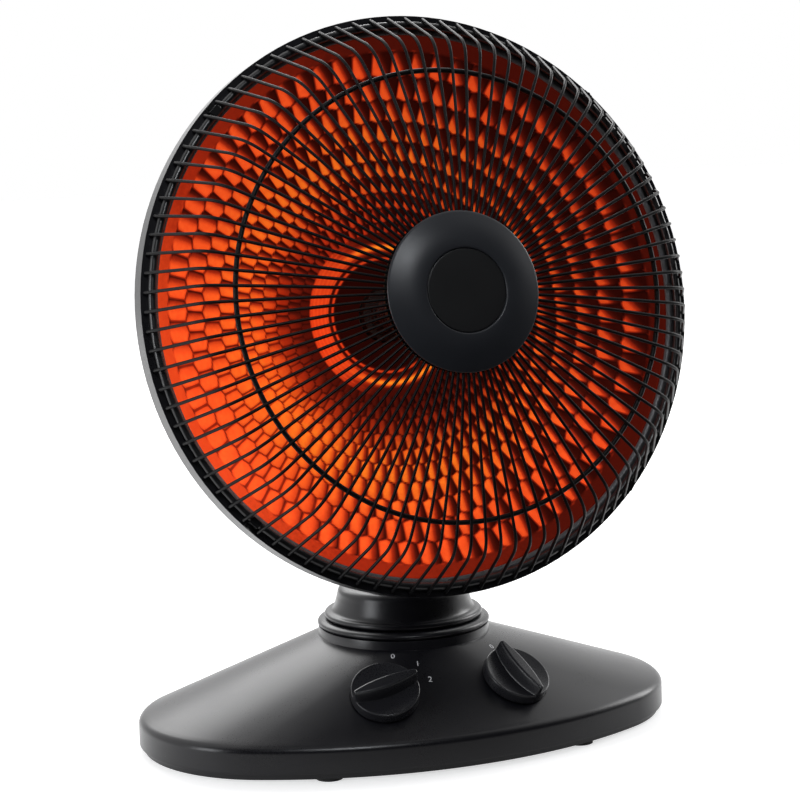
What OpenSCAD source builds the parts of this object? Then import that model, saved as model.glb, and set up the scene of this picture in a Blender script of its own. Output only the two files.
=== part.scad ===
// Table-top parabolic heater: a dished reflector with a glowing element behind a wire guard,
// held by a tilting stalk on an oscillating neck and a low oval base with two dials.
// Millimetres, +Z up, the front faces -Y. The pieces are drawn round the swivel axis, and placed()
// then moves them all so that the origin is on the floor under the middle of the whole heater.

/* [Base] */
// Depth of the base from the swivel axis to its front edge
base_half_depth = 106.5; // [98:0.5:112]
// Radius of the long curved sides of the base, seen from above
base_side_r = 264.6; // [240:0.2:320]
// Radius of the rounded ends of the base, seen from above
base_tip_r = 85; // [70:1:90]
// Height of the upright rim of the base shell
base_rim_h = 20; // [18:0.5:24]
// Height of the top deck of the base above the floor
deck_z = 62; // [58:0.5:66]
// Radius of the top deck, where the slope ends
deck_r = 54; // [52:0.5:58]
// Wall thickness of the base shell
base_wall = 2.6; // [2:0.1:3.2]
// Height of the raised round that stands on the deck
deck_rise = 5.6; // [4:0.1:8]
// Rounding of the edge between the rim and the slope
base_edge_r = 3; // [1.5:0.5:5]
// Thickness of the steel bottom plate
plate_t = 1.2; // [1:0.1:2]
// Radius of a rubber foot
foot_r = 8; // [6:0.5:10]
// How far the feet stand out below the base
foot_h = 2; // [1.5:0.25:4]

/* [Dials] */
// Distance of each dial from the middle of the base, sideways
dial_x = 42; // [38:0.5:50]
// Distance of each dial from the swivel axis, forwards
dial_y = 73; // [68:0.5:76]
// Turn of each dial outwards, away from straight ahead
dial_yaw = 16; // [10:1:20]
// Radius of a dial
dial_r = 20.5; // [17:0.5:21.5]
// Height of the skirt of a dial
dial_skirt_h = 7.5; // [5:0.5:9]
// Height of the grip bar above the skirt
dial_grip_h = 7; // [5:0.5:10]
// Width of the grip bar at its middle
dial_grip_w = 11; // [8:0.5:14]
// Radius of the switch shaft inside a dial
switch_shaft_r = 3; // [2.5:0.1:4]
// Direction that the heat dial points, from the right of the dial
heat_dial_angle = 21; // [-10:1:60]
// Direction that the oscillation dial points, from the right of the dial
swing_dial_angle = 94; // [90:1:140]

/* [Neck] */
// Width of the top deck outside the fixed collar
deck_edge = 0.2; // [0:0.1:2]
// Height of the collar
collar_h = 4.6; // [4.2:0.1:7]
// Step from the collar in to the bead at the foot of the neck
bead_step = 4.5; // [3:0.1:7]
// Step from that bead in to the drum of the neck
drum_step = 5; // [3.5:0.1:7]
// Narrowing of the drum up to its shoulder
drum_taper = 3.3; // [0:0.1:4]
// Height of the neck drum above the foot
neck_h = 20; // [18:0.5:26]
// Rounding of the shoulder of the neck
neck_shoulder_r = 5; // [3:0.5:6]
// Width of the well between the two ears of the neck, open at the back
neck_slot_w = 53; // [48:0.5:54]
// Reach of that well in front of the swivel axis
neck_slot_front = 20; // [16:0.5:22]
// Outer radius of the hollow swivel spindle
spindle_r = 14; // [12:0.5:16]
// Wall of the hollow swivel spindle
spindle_wall = 4; // [3:0.5:5]
// Radius of the tilt bolt
bolt_r = 2.5; // [2:0.25:3]

/* [Head] */
// Upward tilt of the head as it stands
head_tilt = 11.4; // [0:0.2:20]
// Distance of the rim in front of the tilt bolt, with the head level
rim_forward = 86; // [84:0.5:92]
// Height of the middle of the rim above the tilt bolt, with the head level
rim_rise = 172; // [168:0.5:186]
// Width of the lip of the rear housing, seen from the front
lip_w = 5.5; // [4.5:0.1:8]
// Depth of the straight lip of the rear housing
lip_depth = 13; // [10:0.5:18]
// Wall thickness of the rear housing
housing_wall = 2.5; // [2:0.1:3.5]
// Room between the reflector and the bowl of the rear housing
bowl_gap = 15; // [12:0.5:18]
// Radius of the wiring chamber at the back of the housing
chamber_r = 62; // [56:1:68]
// Depth of the wiring chamber behind the bowl
chamber_depth = 23; // [20:0.5:30]

/* [Reflector] */
// Radius at which the reflector bowl meets its flange
bowl_r = 164; // [155:0.5:175]
// Width of the flange round the reflector
flange_w = 5.2; // [4.6:0.1:6]
// Depth of the middle of the reflector behind the rim
bowl_depth = 70; // [66:0.5:72]
// Thickness of the reflector sheet
sheet_t = 0.6; // [0.4:0.1:1]

/* [Element] */
// Radius of the ceramic core
core_r = 8.5; // [6:0.5:11]
// How far the core stands in front of its socket
core_l = 92; // [70:1:100]
// Radius of the heating wire
coil_wire_r = 0.9; // [0.6:0.05:1.2]
// Rise of the heating wire per turn
coil_pitch = 4.5; // [3:0.1:5.5]
// Turns of the heating coil
coil_turns = 16; // [8:1:17]

/* [Guard] */
// Radius of the outer ring's wire
guard_ring_wire = 2.3; // [1.8:0.1:2.4]
// Radius of a guard wire
guard_wire = 1; // [0.7:0.05:1.2]
// Number of guard wires
guard_count = 96; // [48:8:104]
// Height of the guard face above the rim, on the axis
guard_peak = 59; // [54:0.5:66]
// Bend of the domed face of the guard
guard_face_r = 690; // [500:10:900]
// Steepness of the guard wires at the rim
guard_leg_angle = 63; // [55:1:72]
// Bend between the face and the steep end of a guard wire
guard_bend_r = 6; // [4:0.5:12]
// Distance of the middle support ring inside the outer ring
support_inset = 35.9; // [28:0.1:60]
// Radius of the wire of the support and inner rings
thin_ring_wire = 1.5; // [1.1:0.1:2]

/* [Cap] */
// Radius of the cap in the middle of the guard
cap_r = 47.2; // [44:0.2:52]
// Distance of the inner ring inside the edge of the cap
inner_ring_inset = 3.2; // [2:0.1:5]
// Rise of the cap dome from its edge to its disc
cap_rise = 5; // [3:0.5:8]
// Radius of the sunk disc in the cap
cap_disc_r = 24.4; // [20:0.2:28]

/* [Mechanism] */
// Distance of the motor from the swivel axis
motor_y = 44; // [42:0.5:47]
// Radius of the motor can
motor_r = 25; // [22:0.5:26]
// Throw of the crank
crank_throw = 25; // [22:0.5:26]
// Radius of the crank pin
crank_pin_r = 3; // [2:0.25:3.5]
// Radius of the hole for the cord in its inlet
cord_hole_r = 4.2; // [3.5:0.1:4.5]
// Travel of the tip-over plunger
plunger_travel = 4; // [2:0.5:4.5]

/* [Hidden] */
$fn = 96;
eps = 0.01;
fit = 0.05;          // radial clearance of a running or assembled fit
clear = 0.3;         // clearance between pieces that move past each other

black = [0.05, 0.05, 0.055];
satin = [0.09, 0.09, 0.1];
grey = [0.25, 0.25, 0.27];
steel = [0.62, 0.63, 0.65];
brass = [0.75, 0.6, 0.3];
ceramic = [0.85, 0.83, 0.78];
glow = [1, 0.35, 0.08];

// Base outline: two long arcs joined by tip arcs that meet them smoothly
side_c = base_side_r - base_half_depth;
tip_x = sqrt(pow(base_side_r - base_tip_r, 2) - pow(side_c, 2));
side_sweep = atan2(tip_x, side_c);
arc_steps = 14;
function side_arc(inset, way) = [for (i = [-arc_steps : arc_steps])
    let (a = i / arc_steps * side_sweep)
    [way * -(base_side_r - inset) * sin(a), way * ((base_side_r - inset) * cos(a) - side_c)]];
function tip_arc(inset, way) = [for (i = [1 - arc_steps : arc_steps - 1])
    let (a = i / arc_steps * (90 - side_sweep))
    [way * (tip_x + (base_tip_r - inset) * cos(a)), way * (base_tip_r - inset) * sin(a)]];
function base_points(inset) = concat(tip_arc(inset, 1), side_arc(inset, 1),
    tip_arc(inset, -1), side_arc(inset, -1));

base_z = foot_h;                       // lower edge of the base shell
rim_z = base_z + base_rim_h;           // top of its upright rim
front_slope = atan2(deck_z - rim_z, base_half_depth - deck_r);
plate_z = base_z + 0.6;                // underside of the bottom plate
floor_z = plate_z + plate_t;           // inside face of the bottom plate
plate_inset = base_wall + 0.4;
boss_r = 5;
boss_h = 12;                           // depth of the screw holes in the bosses
boss_x = tip_x + 29.1;
boss_y = base_tip_r - 39;
boss_points = [for (sx = [-1, 1], sy = [-1, 1]) [sx * boss_x, sy * boss_y]];
screw_r = 1.9;
foot_x = tip_x - 3.7;
foot_y = base_half_depth - 25;
foot_points = [for (sx = [-1, 1], sy = [-1, 1]) [sx * foot_x, sy * foot_y]];
foot_stem_r = 3;
plate_slot = [28, 3, 8];               // length, width and pitch of the air slots in the plate
plate_slot_x = tip_x + 3.1;

// Dials: each stands square to the slope, on a flat seat sunk into it
dial_tilt = 35;
dial_z = rim_z + (base_half_depth - dial_y) * tan(front_slope) - 5.6;
seat_drop = 0.6;
dial_gap = 0.8;
bush_r = 5;
bush_out = 3.2;
bush_room = 9;                         // radius of the hollow in the dial over bush and nut
switch_w = 28;
switch_h = 13;
switch_front = -base_wall - 3;         // face of the switch body under the slope
nut_h = 2.2;
nut_r = 7.6;

// Neck and swivel
tier_r = deck_r - 0.7;                 // raised round on the deck
collar_z = deck_z + deck_rise;
collar_r = deck_r - deck_edge;
neck_bead_r = collar_r - bead_step;
neck_drum_r = neck_bead_r - drum_step;
neck_top_r = neck_drum_r - drum_taper;
bead_h = 4.2;
foot_z = collar_z + collar_h + clear;  // underside of the neck
neck_floor_z = foot_z + bead_h;        // floor of the well
neck_top_z = foot_z + neck_h;
knuckle_r = 9.2;
pivot_z = neck_floor_z + knuckle_r + 1;
washer_t = 1;
knuckle_l = neck_slot_w - 2 * washer_t - 2 * fit;
flange_r = spindle_r + 10;
flange_t = 2;
flange_z = foot_z + 0.2;
glide_t = 0.8;
bush_wall = 6;
bush_outer_r = spindle_r + bush_wall;
bush_depth = 16;                       // how far the bush hangs below the deck
bush_low_z = deck_z - bush_depth;
bush_top_z = flange_z - glide_t - 0.1;
bush_flange_w = 7;
bush_flange_t = 3;
spindle_nut_h = 6.7;
spindle_nut_w = 6;
nut_low_z = bush_low_z - clear - spindle_nut_h;
arm_t = 3.5;
arm_hub_w = 5;
arm_top_z = nut_low_z - 0.4;
arm_low_z = arm_top_z - arm_t;
spindle_low_z = arm_low_z - 0.5;
ear_t = 8;                             // from the well to the seat of the tilt bolt's head
ear_x = neck_slot_w / 2 + ear_t;
head_r = 4.5;                          // head of the tilt bolt
spindle_screw_r = 1.5;
spindle_screw_at = spindle_r + 4;
across = 2 * deck_r;                   // longer than anything that is cut right through the neck

// Cord inlet, tip-over switch and terminal block on the floor of the base
cord_z = base_z + 11;
inlet_r = 7;
inlet_flat = 6.4;         // the collar inside is cut flat here, under the edge of the base
plunger_r = 4;
plunger_at = [-72, 38];
plunger_stop_r = 6;
plunger_stop_z = floor_z + plunger_travel + 0.5;
switch_box = [34, 20, 24];
terminal_at = [34, 72];
terminal_ways = 4;
terminal_pitch = 9;

// Crank and slotted arm: the pin runs in the slot while the crank turns 90 degrees each way
motor_screw_r = 1.75;
motor_ear_x = motor_r + 4;
motor_points = [[-motor_ear_x, motor_y], [motor_ear_x, motor_y]];
motor_shaft_r = 3.5;
crank_t = 4;
crank_gap = 3.7;                       // between the crank and the arm above it
crank_low_z = arm_low_z - crank_gap - crank_t;
motor_top_z = crank_low_z - 1.6;
pin_top_z = arm_top_z + 1.6;
slot_play = 1.25;
slot_r = crank_pin_r + slot_play;
slot_near = sqrt(motor_y * motor_y + crank_throw * crank_throw) - 3;
slot_far = motor_y + crank_throw + 0.5;

// Head: profiles are radius against height, height 0 at the rim, forwards up
reflector_out = bowl_r + flange_w;
lip_in = reflector_out + clear;
lip_r = lip_in + lip_w;
guard_r = lip_in - 0.8;                // the outer ring lies on the front of the lip
lip_front = -guard_ring_wire - 0.1;
lip_back = lip_front - lip_depth;
flange_back = lip_front - 3.2;
flange_front = flange_back + sheet_t;
ledge_in = bowl_r + 0.5;
ledge_back = flange_back - 2.2;
housing_r = lip_r - 4;                 // radius at which the bowl of the housing starts
bowl_edge = flange_front - 1.57;       // height at which the bowl meets the step to its flange
focal = bowl_r * bowl_r / (4 * (bowl_depth + bowl_edge));
function bowl_z(r) = r * r / (4 * focal) - bowl_depth;
bowl_steps = 12;
chamber_front = bowl_z(chamber_r) - bowl_gap;
chamber_back = chamber_front - chamber_depth;
cover_lap = 9;                         // how far the rear cover laps over the chamber's back
cover_r = chamber_r - cover_lap - 6;
cover_t = 2;
cover_slot = [52, 3, 8];               // length, width and pitch of its slots
hole_r = 17.2;                         // hole in the middle of the reflector
socket_r = 16;
socket_behind = 12;                    // how far the socket stands out behind and before
socket_before = 6;                     // the middle of the bowl
socket_back = bowl_z(0) - socket_behind;
socket_front = bowl_z(0) + socket_before;
core_front = socket_front + core_l;
core_flange_w = 2.6;
core_flange_t = 4.2;
groove_pitch = 6;
coil_start = socket_front + 6;
coil_r = core_r + coil_wire_r + clear; // middle radius of the heating coil
clip_front = bowl_z(hole_r) - sheet_t - 0.2;
socket_rim_r = socket_r + 6;
vent_count = 30;
vent_in = chamber_r + 12;
vent_out = vent_in + 38;
vent_w = 3.6;
lip_screw_at = lip_r - 1.55;           // small screws of the guard clips, in the lip
lip_screw_r = 0.9;
lip_screw_head = 1.35;
flange_screw_at = bowl_r + flange_w / 2;  // screws through the flange of the reflector
cover_screw_at = cover_r + 5;          // screws of the rear cover

// Guard wire path in its own plane: a domed face, a bend and a steep straight end
leg_dir = [-cos(guard_leg_angle), sin(guard_leg_angle)];
leg_in = [-sin(guard_leg_angle), -cos(guard_leg_angle)];
weld_gap = 0.04;
leg_foot = [guard_r, 0] - (guard_ring_wire + guard_wire + weld_gap) * leg_in;
support_r = guard_r - support_inset;
inner_ring_r = cap_r - inner_ring_inset;
face_c = [0, guard_peak - guard_face_r];
bend_from = leg_foot + guard_bend_r * leg_in - face_c;
bend_b = bend_from * leg_dir;
bend_l = -bend_b + sqrt(bend_b * bend_b - bend_from * bend_from + pow(guard_face_r - guard_bend_r, 2));
bend_c = leg_foot + guard_bend_r * leg_in + bend_l * leg_dir;
bend_top = 90 - atan2((bend_c - face_c)[0], (bend_c - face_c)[1]);
bend_low = 90 - guard_leg_angle;
wire_in_r = inner_ring_r - 2;
wire_phase = 180 / guard_count;
leg_tail = 2.6;
wire_joint_gap = 0.15;                 // the bend and the leg each stop this short of their joint
wire_bead = 0.08;                      // how far the bead there stands out round the wire
function face_z(r) = face_c[1] + sqrt(guard_face_r * guard_face_r - r * r);
ring_drop = guard_wire + thin_ring_wire + weld_gap;
function ring_place(r) = let (a = asin(r / guard_face_r))
    [r - ring_drop * sin(a), face_z(r) - ring_drop * cos(a)];
clip_w = 6;
clip_t = 1;
clip_top = guard_ring_wire + 0.1;
clip_angles = [45, 135, 225, 315];
cap_edge = face_z(cap_r) + guard_wire + 0.2;
cap_wall = 1.8;
cap_post_r = 5;
plate_front = ring_place(inner_ring_r)[1] - thin_ring_wire - 0.1;
pan_t = 0.9;                           // sheet of the pan behind the cap
pan_depth = 10;
pan_r = inner_ring_r - thin_ring_wire - 1;
pan_screw_hole_r = 1.6;
cap_top = cap_edge + 1.6 + cap_rise;

// Stalk between the tilt bolt and the back of the housing, measured with the head level
chamber_y = -chamber_back - rim_forward;
boss_front_y = -chamber_front - rim_forward + 2;
pad_z = rim_rise - chamber_r - 7;
pad_w = 56;
pad_d = chamber_y - boss_front_y - 2;
pad_t = 4;
pad_y = (chamber_y + boss_front_y) / 2;
pad_screw_x = 24.2;
pad_screw_r = 1.6;
stalk_wall = 2.6;

// The whole heater's depth: the guard leans out over the front of the base
rim_y = rim_rise * sin(head_tilt) - rim_forward * cos(head_tilt);
guard_reach = bend_c * [sin(head_tilt), cos(head_tilt)] + guard_bend_r + guard_wire;
inlet_rim = 3.4;                       // how far the cord inlet stands out of the back wall
axis_y = -(min(rim_y - guard_reach, -base_half_depth) + base_half_depth + inlet_rim) / 2;
echo(axis_y = axis_y, pivot_z = pivot_z, dial_z = dial_z);

// Heating coil: one helix, with a straight tail at each end square to the winding
coil_sides = 6;
coil_rings = 24;
coil_points = [for (i = [0 : coil_turns * coil_rings])
    let (a = 360 * i / coil_rings)
    [coil_r * cos(a), coil_r * sin(a), coil_start + coil_pitch * i / coil_rings]];
coil_gap = min([for (i = [0 : len(coil_points) - 1])
    for (j = [i + coil_rings / 2 : min(i + 3 * coil_rings / 2, len(coil_points) - 1)])
    norm(coil_points[i] - coil_points[j])]) - 2 * coil_wire_r;
echo(coil_least_gap = coil_gap);
assert(coil_gap > 0.4, "the turns of the heating coil touch");

// ---------------------------------------------------------------- shared shapes

module ring(r_out, r_in, z0, z1) {
    translate([0, 0, z0])
        difference() {
            cylinder(r = r_out, h = z1 - z0);
            translate([0, 0, -1]) cylinder(r = r_in, h = z1 - z0 + 2);
        }
}

module rod(r, z0, z1) {
    translate([0, 0, z0]) cylinder(r = r, h = z1 - z0);
}

module hoop(r, wire, z) {
    translate([0, 0, z]) rotate_extrude() translate([r, 0]) circle(r = wire, $fn = 32);
}

// Screw with a pan head on its own axis; the underside of the head is at height 0
module pan_screw(r, l, head_r, head_h, slot = true) {
    difference() {
        union() {
            rod(r, -l, 0.2);
            rod(head_r, 0, head_h);
        }
        if (slot)
            for (a = [0, 90])
                rotate([0, 0, a])
                    translate([-head_r * 0.55, -head_r * 0.11, head_h * 0.45])
                        cube([head_r * 1.1, head_r * 0.22, head_h]);
    }
}

module at_each(points) {
    for (p = points) translate([p[0], p[1], 0]) children();
}

module around(count, phase = 0) {
    for (i = [0 : count - 1]) rotate([0, 0, phase + i * 360 / count]) children();
}

// Places a child on the slope of the base: +Z square to the slope, +Y up it
module at_dial(side) {
    translate([side * dial_x, -dial_y, dial_z])
        rotate([0, 0, side * dial_yaw])
            rotate([dial_tilt, 0, 0])
                children();
}

// Places a child that is drawn with the head level and the tilt bolt at the origin
module at_pivot() {
    translate([0, 0, pivot_z]) rotate([-head_tilt, 0, 0]) children();
}

// Places a child that is drawn round the axis of the dish, forwards up, rim at height 0
module at_dish() {
    at_pivot() translate([0, -rim_forward, rim_rise]) rotate([90, 0, 0]) children();
}

// ---------------------------------------------------------------- base

module base_solid(inset) {
    translate([0, 0, base_z])
        linear_extrude(base_rim_h - base_edge_r)
            polygon(base_points(inset));
    hull() {
        translate([0, 0, rim_z - base_edge_r])
            linear_extrude(eps) polygon(base_points(inset));
        translate([0, 0, rim_z - base_edge_r * 0.3 - inset * 0.5])
            linear_extrude(eps) polygon(base_points(inset + base_edge_r * 0.3));
        translate([0, 0, rim_z + base_edge_r * 0.35 - inset])
            linear_extrude(eps) polygon(base_points(inset + base_edge_r * 1.2));
        translate([0, 0, deck_z - inset - eps])
            linear_extrude(eps) circle(r = deck_r - inset * 0.6);
    }
}

module base_shell() {
    color(black)
        difference() {
            union() {
                difference() {
                    base_solid(0);
                    base_solid(base_wall);
                    translate([0, 0, base_z - 1])
                        linear_extrude(2)
                            polygon(base_points(base_wall));
                }
                rod(tier_r, deck_z - base_wall - 0.4, collar_z);
                intersection() {
                    at_each(boss_points) rod(boss_r, floor_z, deck_z);
                    base_solid(base_wall / 2);
                }
            }
            rod(bush_outer_r + fit, 0, collar_z + 1);
            for (side = [-1, 1])
                at_dial(side) {
                    rod(dial_r + 0.7, -seat_drop, dial_skirt_h + 12);
                    rod(bush_r + 0.2, -30, 1);
                }
            translate([0, base_half_depth - 20, cord_z]) rotate([-90, 0, 0])
                cylinder(r = inlet_r + fit, h = 40);
            at_each(boss_points) rod(screw_r - 0.4, 0, floor_z + boss_h);
        }
}

module bottom_plate() {
    color(steel)
        translate([0, 0, plate_z])
            difference() {
                linear_extrude(plate_t) polygon(base_points(plate_inset));
                translate([0, 0, -plate_z]) {
                    at_each(boss_points) rod(screw_r + 0.2, 0, floor_z + 1);
                    at_each(foot_points) rod(foot_stem_r + fit, 0, floor_z + 1);
                    at_each(motor_points) rod(motor_screw_r + fit, 0, floor_z + 1);
                    at_each([plunger_at]) rod(plunger_r + 1, 0, floor_z + 1);
                    for (sx = [-1, 1], i = [-3 : 3])
                        translate([sx * plate_slot_x - plate_slot[0] / 2, plate_slot[2] * i, 0])
                            cube([plate_slot[0], plate_slot[1], floor_z + 1]);
                }
            }
}

module base_screws() {
    color(steel)
        at_each(boss_points)
            translate([0, 0, plate_z]) rotate([180, 0, 0])
                pan_screw(screw_r - 0.45, boss_h - 1, 3.4, 0.5 + foot_h / 4, false);
}

module rubber_feet() {
    color(black)
        at_each(foot_points) {
            rod(foot_r, 0, plate_z);
            rod(foot_stem_r, plate_z - eps, floor_z + eps);
            rod(foot_stem_r + 1.2, floor_z, floor_z + 1.6);
        }
}

module collar_ring() {
    mid = collar_z + collar_h * 0.45;
    color(black)
        rotate_extrude()
            polygon(concat(
                [[neck_drum_r, collar_z], [collar_r - 2.4, collar_z]],
                [for (a = [-60 : 15 : 60]) [collar_r - 2.6 + 2.6 * cos(a), mid + collar_h * 0.44 * sin(a)]],
                [[collar_r - 3.2, collar_z + collar_h], [neck_drum_r, collar_z + collar_h]]));
}

module swivel_bush() {
    color(grey) {
        ring(bush_outer_r, spindle_r + fit, bush_low_z, bush_top_z);
        ring(bush_outer_r + bush_flange_w, bush_outer_r - eps, collar_z, collar_z + bush_flange_t);
    }
}

module glide_washer() {
    color(ceramic) ring(flange_r - 1, spindle_r + 0.4, bush_top_z, bush_top_z + glide_t);
}

module switch_body() {
    difference() {
        union() {
            translate([-switch_w / 2, -switch_w / 2, switch_front - switch_h])
                cube([switch_w, switch_w, switch_h]);
            rod(bush_r, switch_front - eps, bush_out);
            for (sx = [-9, 0, 9])
                translate([sx - 2.4, -0.4, switch_front - switch_h - 6]) cube([4.8, 0.8, 6 + eps]);
        }
        rod(switch_shaft_r + fit, switch_front - switch_h + 3, bush_out + 1);
    }
}

module switch_nut() {
    difference() {
        translate([0, 0, -seat_drop]) cylinder(r = nut_r, h = nut_h, $fn = 6);
        rod(bush_r + fit, -seat_drop - 1, nut_h + 1);
    }
}

module heat_switch() {
    color(grey) at_dial(-1) switch_body();
}

module swing_switch() {
    color(grey) at_dial(1) switch_body();
}

module switch_nuts() {
    color(steel) for (side = [-1, 1]) at_dial(side) switch_nut();
}

module motor() {
    color(steel)
        translate([0, motor_y, 0])
            difference() {
                union() {
                    rod(motor_r, floor_z, motor_top_z);
                    rod(7, motor_top_z - eps, motor_top_z + 1.2);
                    translate([-motor_ear_x - 4, -5, floor_z]) cube([2 * motor_ear_x + 8, 10, 1.2]);
                    translate([-11, -motor_r - 5, floor_z + 4]) cube([22, 8, 9]);
                }
                for (sx = [-1, 1])
                    translate([sx * motor_ear_x, 0, 0]) rod(motor_screw_r + fit, 0, floor_z + 3);
                rod(motor_shaft_r + fit, motor_top_z - 9, motor_top_z + 3);
            }
}

module motor_screws() {
    color(steel)
        at_each(motor_points)
            translate([0, 0, floor_z + 1.2]) pan_screw(motor_screw_r, plate_t + 1.2, 3, 1.8);
}

// Crank with its output shaft below and its pin above, pointing away from the swivel axis
module crank() {
    color(steel)
        translate([0, motor_y, 0]) {
            rod(motor_shaft_r, motor_top_z - 8, crank_low_z + eps);
            difference() {
                union() {
                    rod(8, crank_low_z, crank_low_z + crank_t);
                    translate([0, crank_throw, 0])
                        rod(crank_pin_r + 2.5, crank_low_z, crank_low_z + crank_t);
                    translate([-4.5, 0, crank_low_z]) cube([9, crank_throw, crank_t]);
                }
                rod(2, crank_low_z + 1, crank_low_z + crank_t + 1);
            }
            translate([0, crank_throw, 0]) rod(crank_pin_r, crank_low_z + crank_t - eps, pin_top_z);
        }
}

module tip_switch() {
    color(grey)
        translate([plunger_at[0], plunger_at[1], 0])
            difference() {
                translate([-switch_box[0] / 2, -switch_box[1] / 2, floor_z]) cube(switch_box);
                rod(plunger_stop_r + 0.5, 0, plunger_stop_z + 3);
                rod(plunger_r + fit, 0, floor_z + switch_box[2] - 3);
            }
}

module tip_plunger() {
    color(black)
        translate([plunger_at[0], plunger_at[1], 0]) {
            rod(plunger_r, 0.25, plunger_stop_z + 9);
            rod(plunger_stop_r, plunger_stop_z, plunger_stop_z + 2);
        }
}

module terminal_block() {
    color(ceramic)
        translate([terminal_at[0], terminal_at[1], floor_z])
            difference() {
                cube([terminal_ways * terminal_pitch, 15, 12]);
                for (i = [0 : terminal_ways - 1])
                    translate([(i + 0.5) * terminal_pitch, 0, 5]) {
                        translate([0, -1, 0]) rotate([-90, 0, 0]) cylinder(r = 1.8, h = 17);
                        for (y = [4, 11]) translate([0, y, 0]) cylinder(r = 1.6, h = 8);
                    }
            }
}

// Flanged bush in the back wall that the supply cord passes through
module cord_inlet() {
    wall_y = base_half_depth;
    color(black)
        translate([0, wall_y, cord_z])
            rotate([-90, 0, 0])
                difference() {
                    union() {
                        rod(inlet_r, -base_wall - 7, 3);
                        rod(inlet_r + 2.5, 0.3, inlet_rim);
                        intersection() {
                            rod(inlet_r + 2, -base_wall - 4, -base_wall - 1.2);
                            translate([-20, -inlet_flat, -20]) cube([40, 40, 40]);
                        }
                    }
                    rod(cord_hole_r, -base_wall - 8, 5);
                }
}

// ---------------------------------------------------------------- dials

module grip_outline() {
    lens_r = (dial_r * dial_r + dial_grip_w * dial_grip_w / 4) / dial_grip_w;
    intersection_for (s = [-1, 1])
        translate([0, s * (lens_r - dial_grip_w / 2)]) circle(r = lens_r, $fn = 180);
}

module dial(angle) {
    rotate([0, 0, angle])
        difference() {
            union() {
                translate([0, 0, dial_gap])
                    cylinder(r1 = dial_r, r2 = dial_r - 1.6, h = dial_skirt_h - dial_gap);
                translate([0, 0, dial_gap + 1])
                    linear_extrude(dial_skirt_h + dial_grip_h - dial_gap - 1) grip_outline();
            }
            rod(bush_room, -1, bush_out + 1);
            rod(switch_shaft_r + fit, -1, dial_skirt_h + dial_grip_h - 3);
        }
}

module switch_shaft() {
    rod(switch_shaft_r, switch_front - switch_h + 3.5, dial_skirt_h + dial_grip_h - 3.5);
}

module heat_knob() {
    color(satin) at_dial(-1) dial(heat_dial_angle);
}

module heat_shaft() {
    color(brass) at_dial(-1) switch_shaft();
}

module swing_knob() {
    color(satin) at_dial(1) dial(swing_dial_angle);
}

module swing_shaft() {
    color(brass) at_dial(1) switch_shaft();
}

// ---------------------------------------------------------------- neck

module neck_shell() {
    shoulder = [for (a = [0 : 15 : 90])
        [neck_top_r - neck_shoulder_r * (1 - cos(a)), neck_top_z - neck_shoulder_r * (1 - sin(a))]];
    color(black)
        difference() {
            rotate_extrude()
                polygon(concat(
                    [[0, foot_z], [neck_bead_r - 1.6, foot_z]],
                    [for (a = [-60 : 20 : 60])
                        [neck_bead_r - 1.9 + 1.9 * cos(a), foot_z + bead_h / 2 + 1.9 * sin(a)]],
                    [[neck_bead_r - 2.6, foot_z + bead_h], [neck_drum_r, foot_z + bead_h + 0.8]],
                    shoulder,
                    [[0, neck_top_z]]));
            translate([-neck_slot_w / 2, -neck_slot_front, neck_floor_z])
                cube([neck_slot_w, neck_slot_front + neck_bead_r + 1, neck_h]);
            rod(flange_r + 0.1, 0, flange_z + flange_t);
            rod(spindle_r - spindle_wall, 0, neck_top_z);
            around(4, 45) translate([spindle_screw_at, 0, 0]) rod(spindle_screw_r + fit, 0, neck_top_z);
            translate([0, 0, pivot_z]) rotate([0, 90, 0]) {
                rod(bolt_r + fit, -across, across);
                rod(head_r + 0.4, ear_x, across);
                rod(head_r + 0.4, -across, -ear_x);
            }
        }
}

module spindle() {
    color(steel)
        difference() {
            union() {
                rod(spindle_r, spindle_low_z, flange_z + flange_t);
                rod(flange_r, flange_z, flange_z + flange_t);
            }
            rod(spindle_r - spindle_wall, 0, neck_top_z);
            around(4, 45) translate([spindle_screw_at, 0, 0]) rod(spindle_screw_r - 0.2, 0, neck_top_z);
        }
}

module spindle_screws() {
    color(steel)
        around(4, 45)
            translate([spindle_screw_at, 0, neck_floor_z])
                pan_screw(spindle_screw_r - 0.25, neck_floor_z - flange_z, 2.4, 0.7, false);
}

module spindle_nut() {
    color(brass)
        difference() {
            translate([0, 0, nut_low_z])
                cylinder(r = spindle_r + spindle_nut_w, h = spindle_nut_h, $fn = 6);
            rod(spindle_r + fit / 2, 0, deck_z);
        }
}

// Lever keyed to the spindle; the crank pin runs in its radial slot
module swivel_arm() {
    color(steel)
        difference() {
            union() {
                rod(spindle_r + arm_hub_w, arm_low_z, arm_top_z);
                translate([-slot_r - 3.5, 0, arm_low_z]) cube([2 * slot_r + 7, slot_far, arm_t]);
                translate([0, slot_far, 0]) rod(slot_r + 3.5, arm_low_z, arm_top_z);
            }
            rod(spindle_r + fit / 2, 0, deck_z);
            for (y = [slot_near, slot_far]) translate([0, y, 0]) rod(slot_r, 0, deck_z);
            translate([-slot_r, slot_near, 0]) cube([2 * slot_r, slot_far - slot_near, deck_z]);
        }
}

module friction_washers() {
    color(steel)
        for (side = [-1, 1])
            translate([side * (neck_slot_w / 2 - washer_t / 2), 0, pivot_z])
                rotate([0, 90, 0])
                    ring(knuckle_r - 0.6, bolt_r + fit, -washer_t / 2, washer_t / 2);
}

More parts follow.
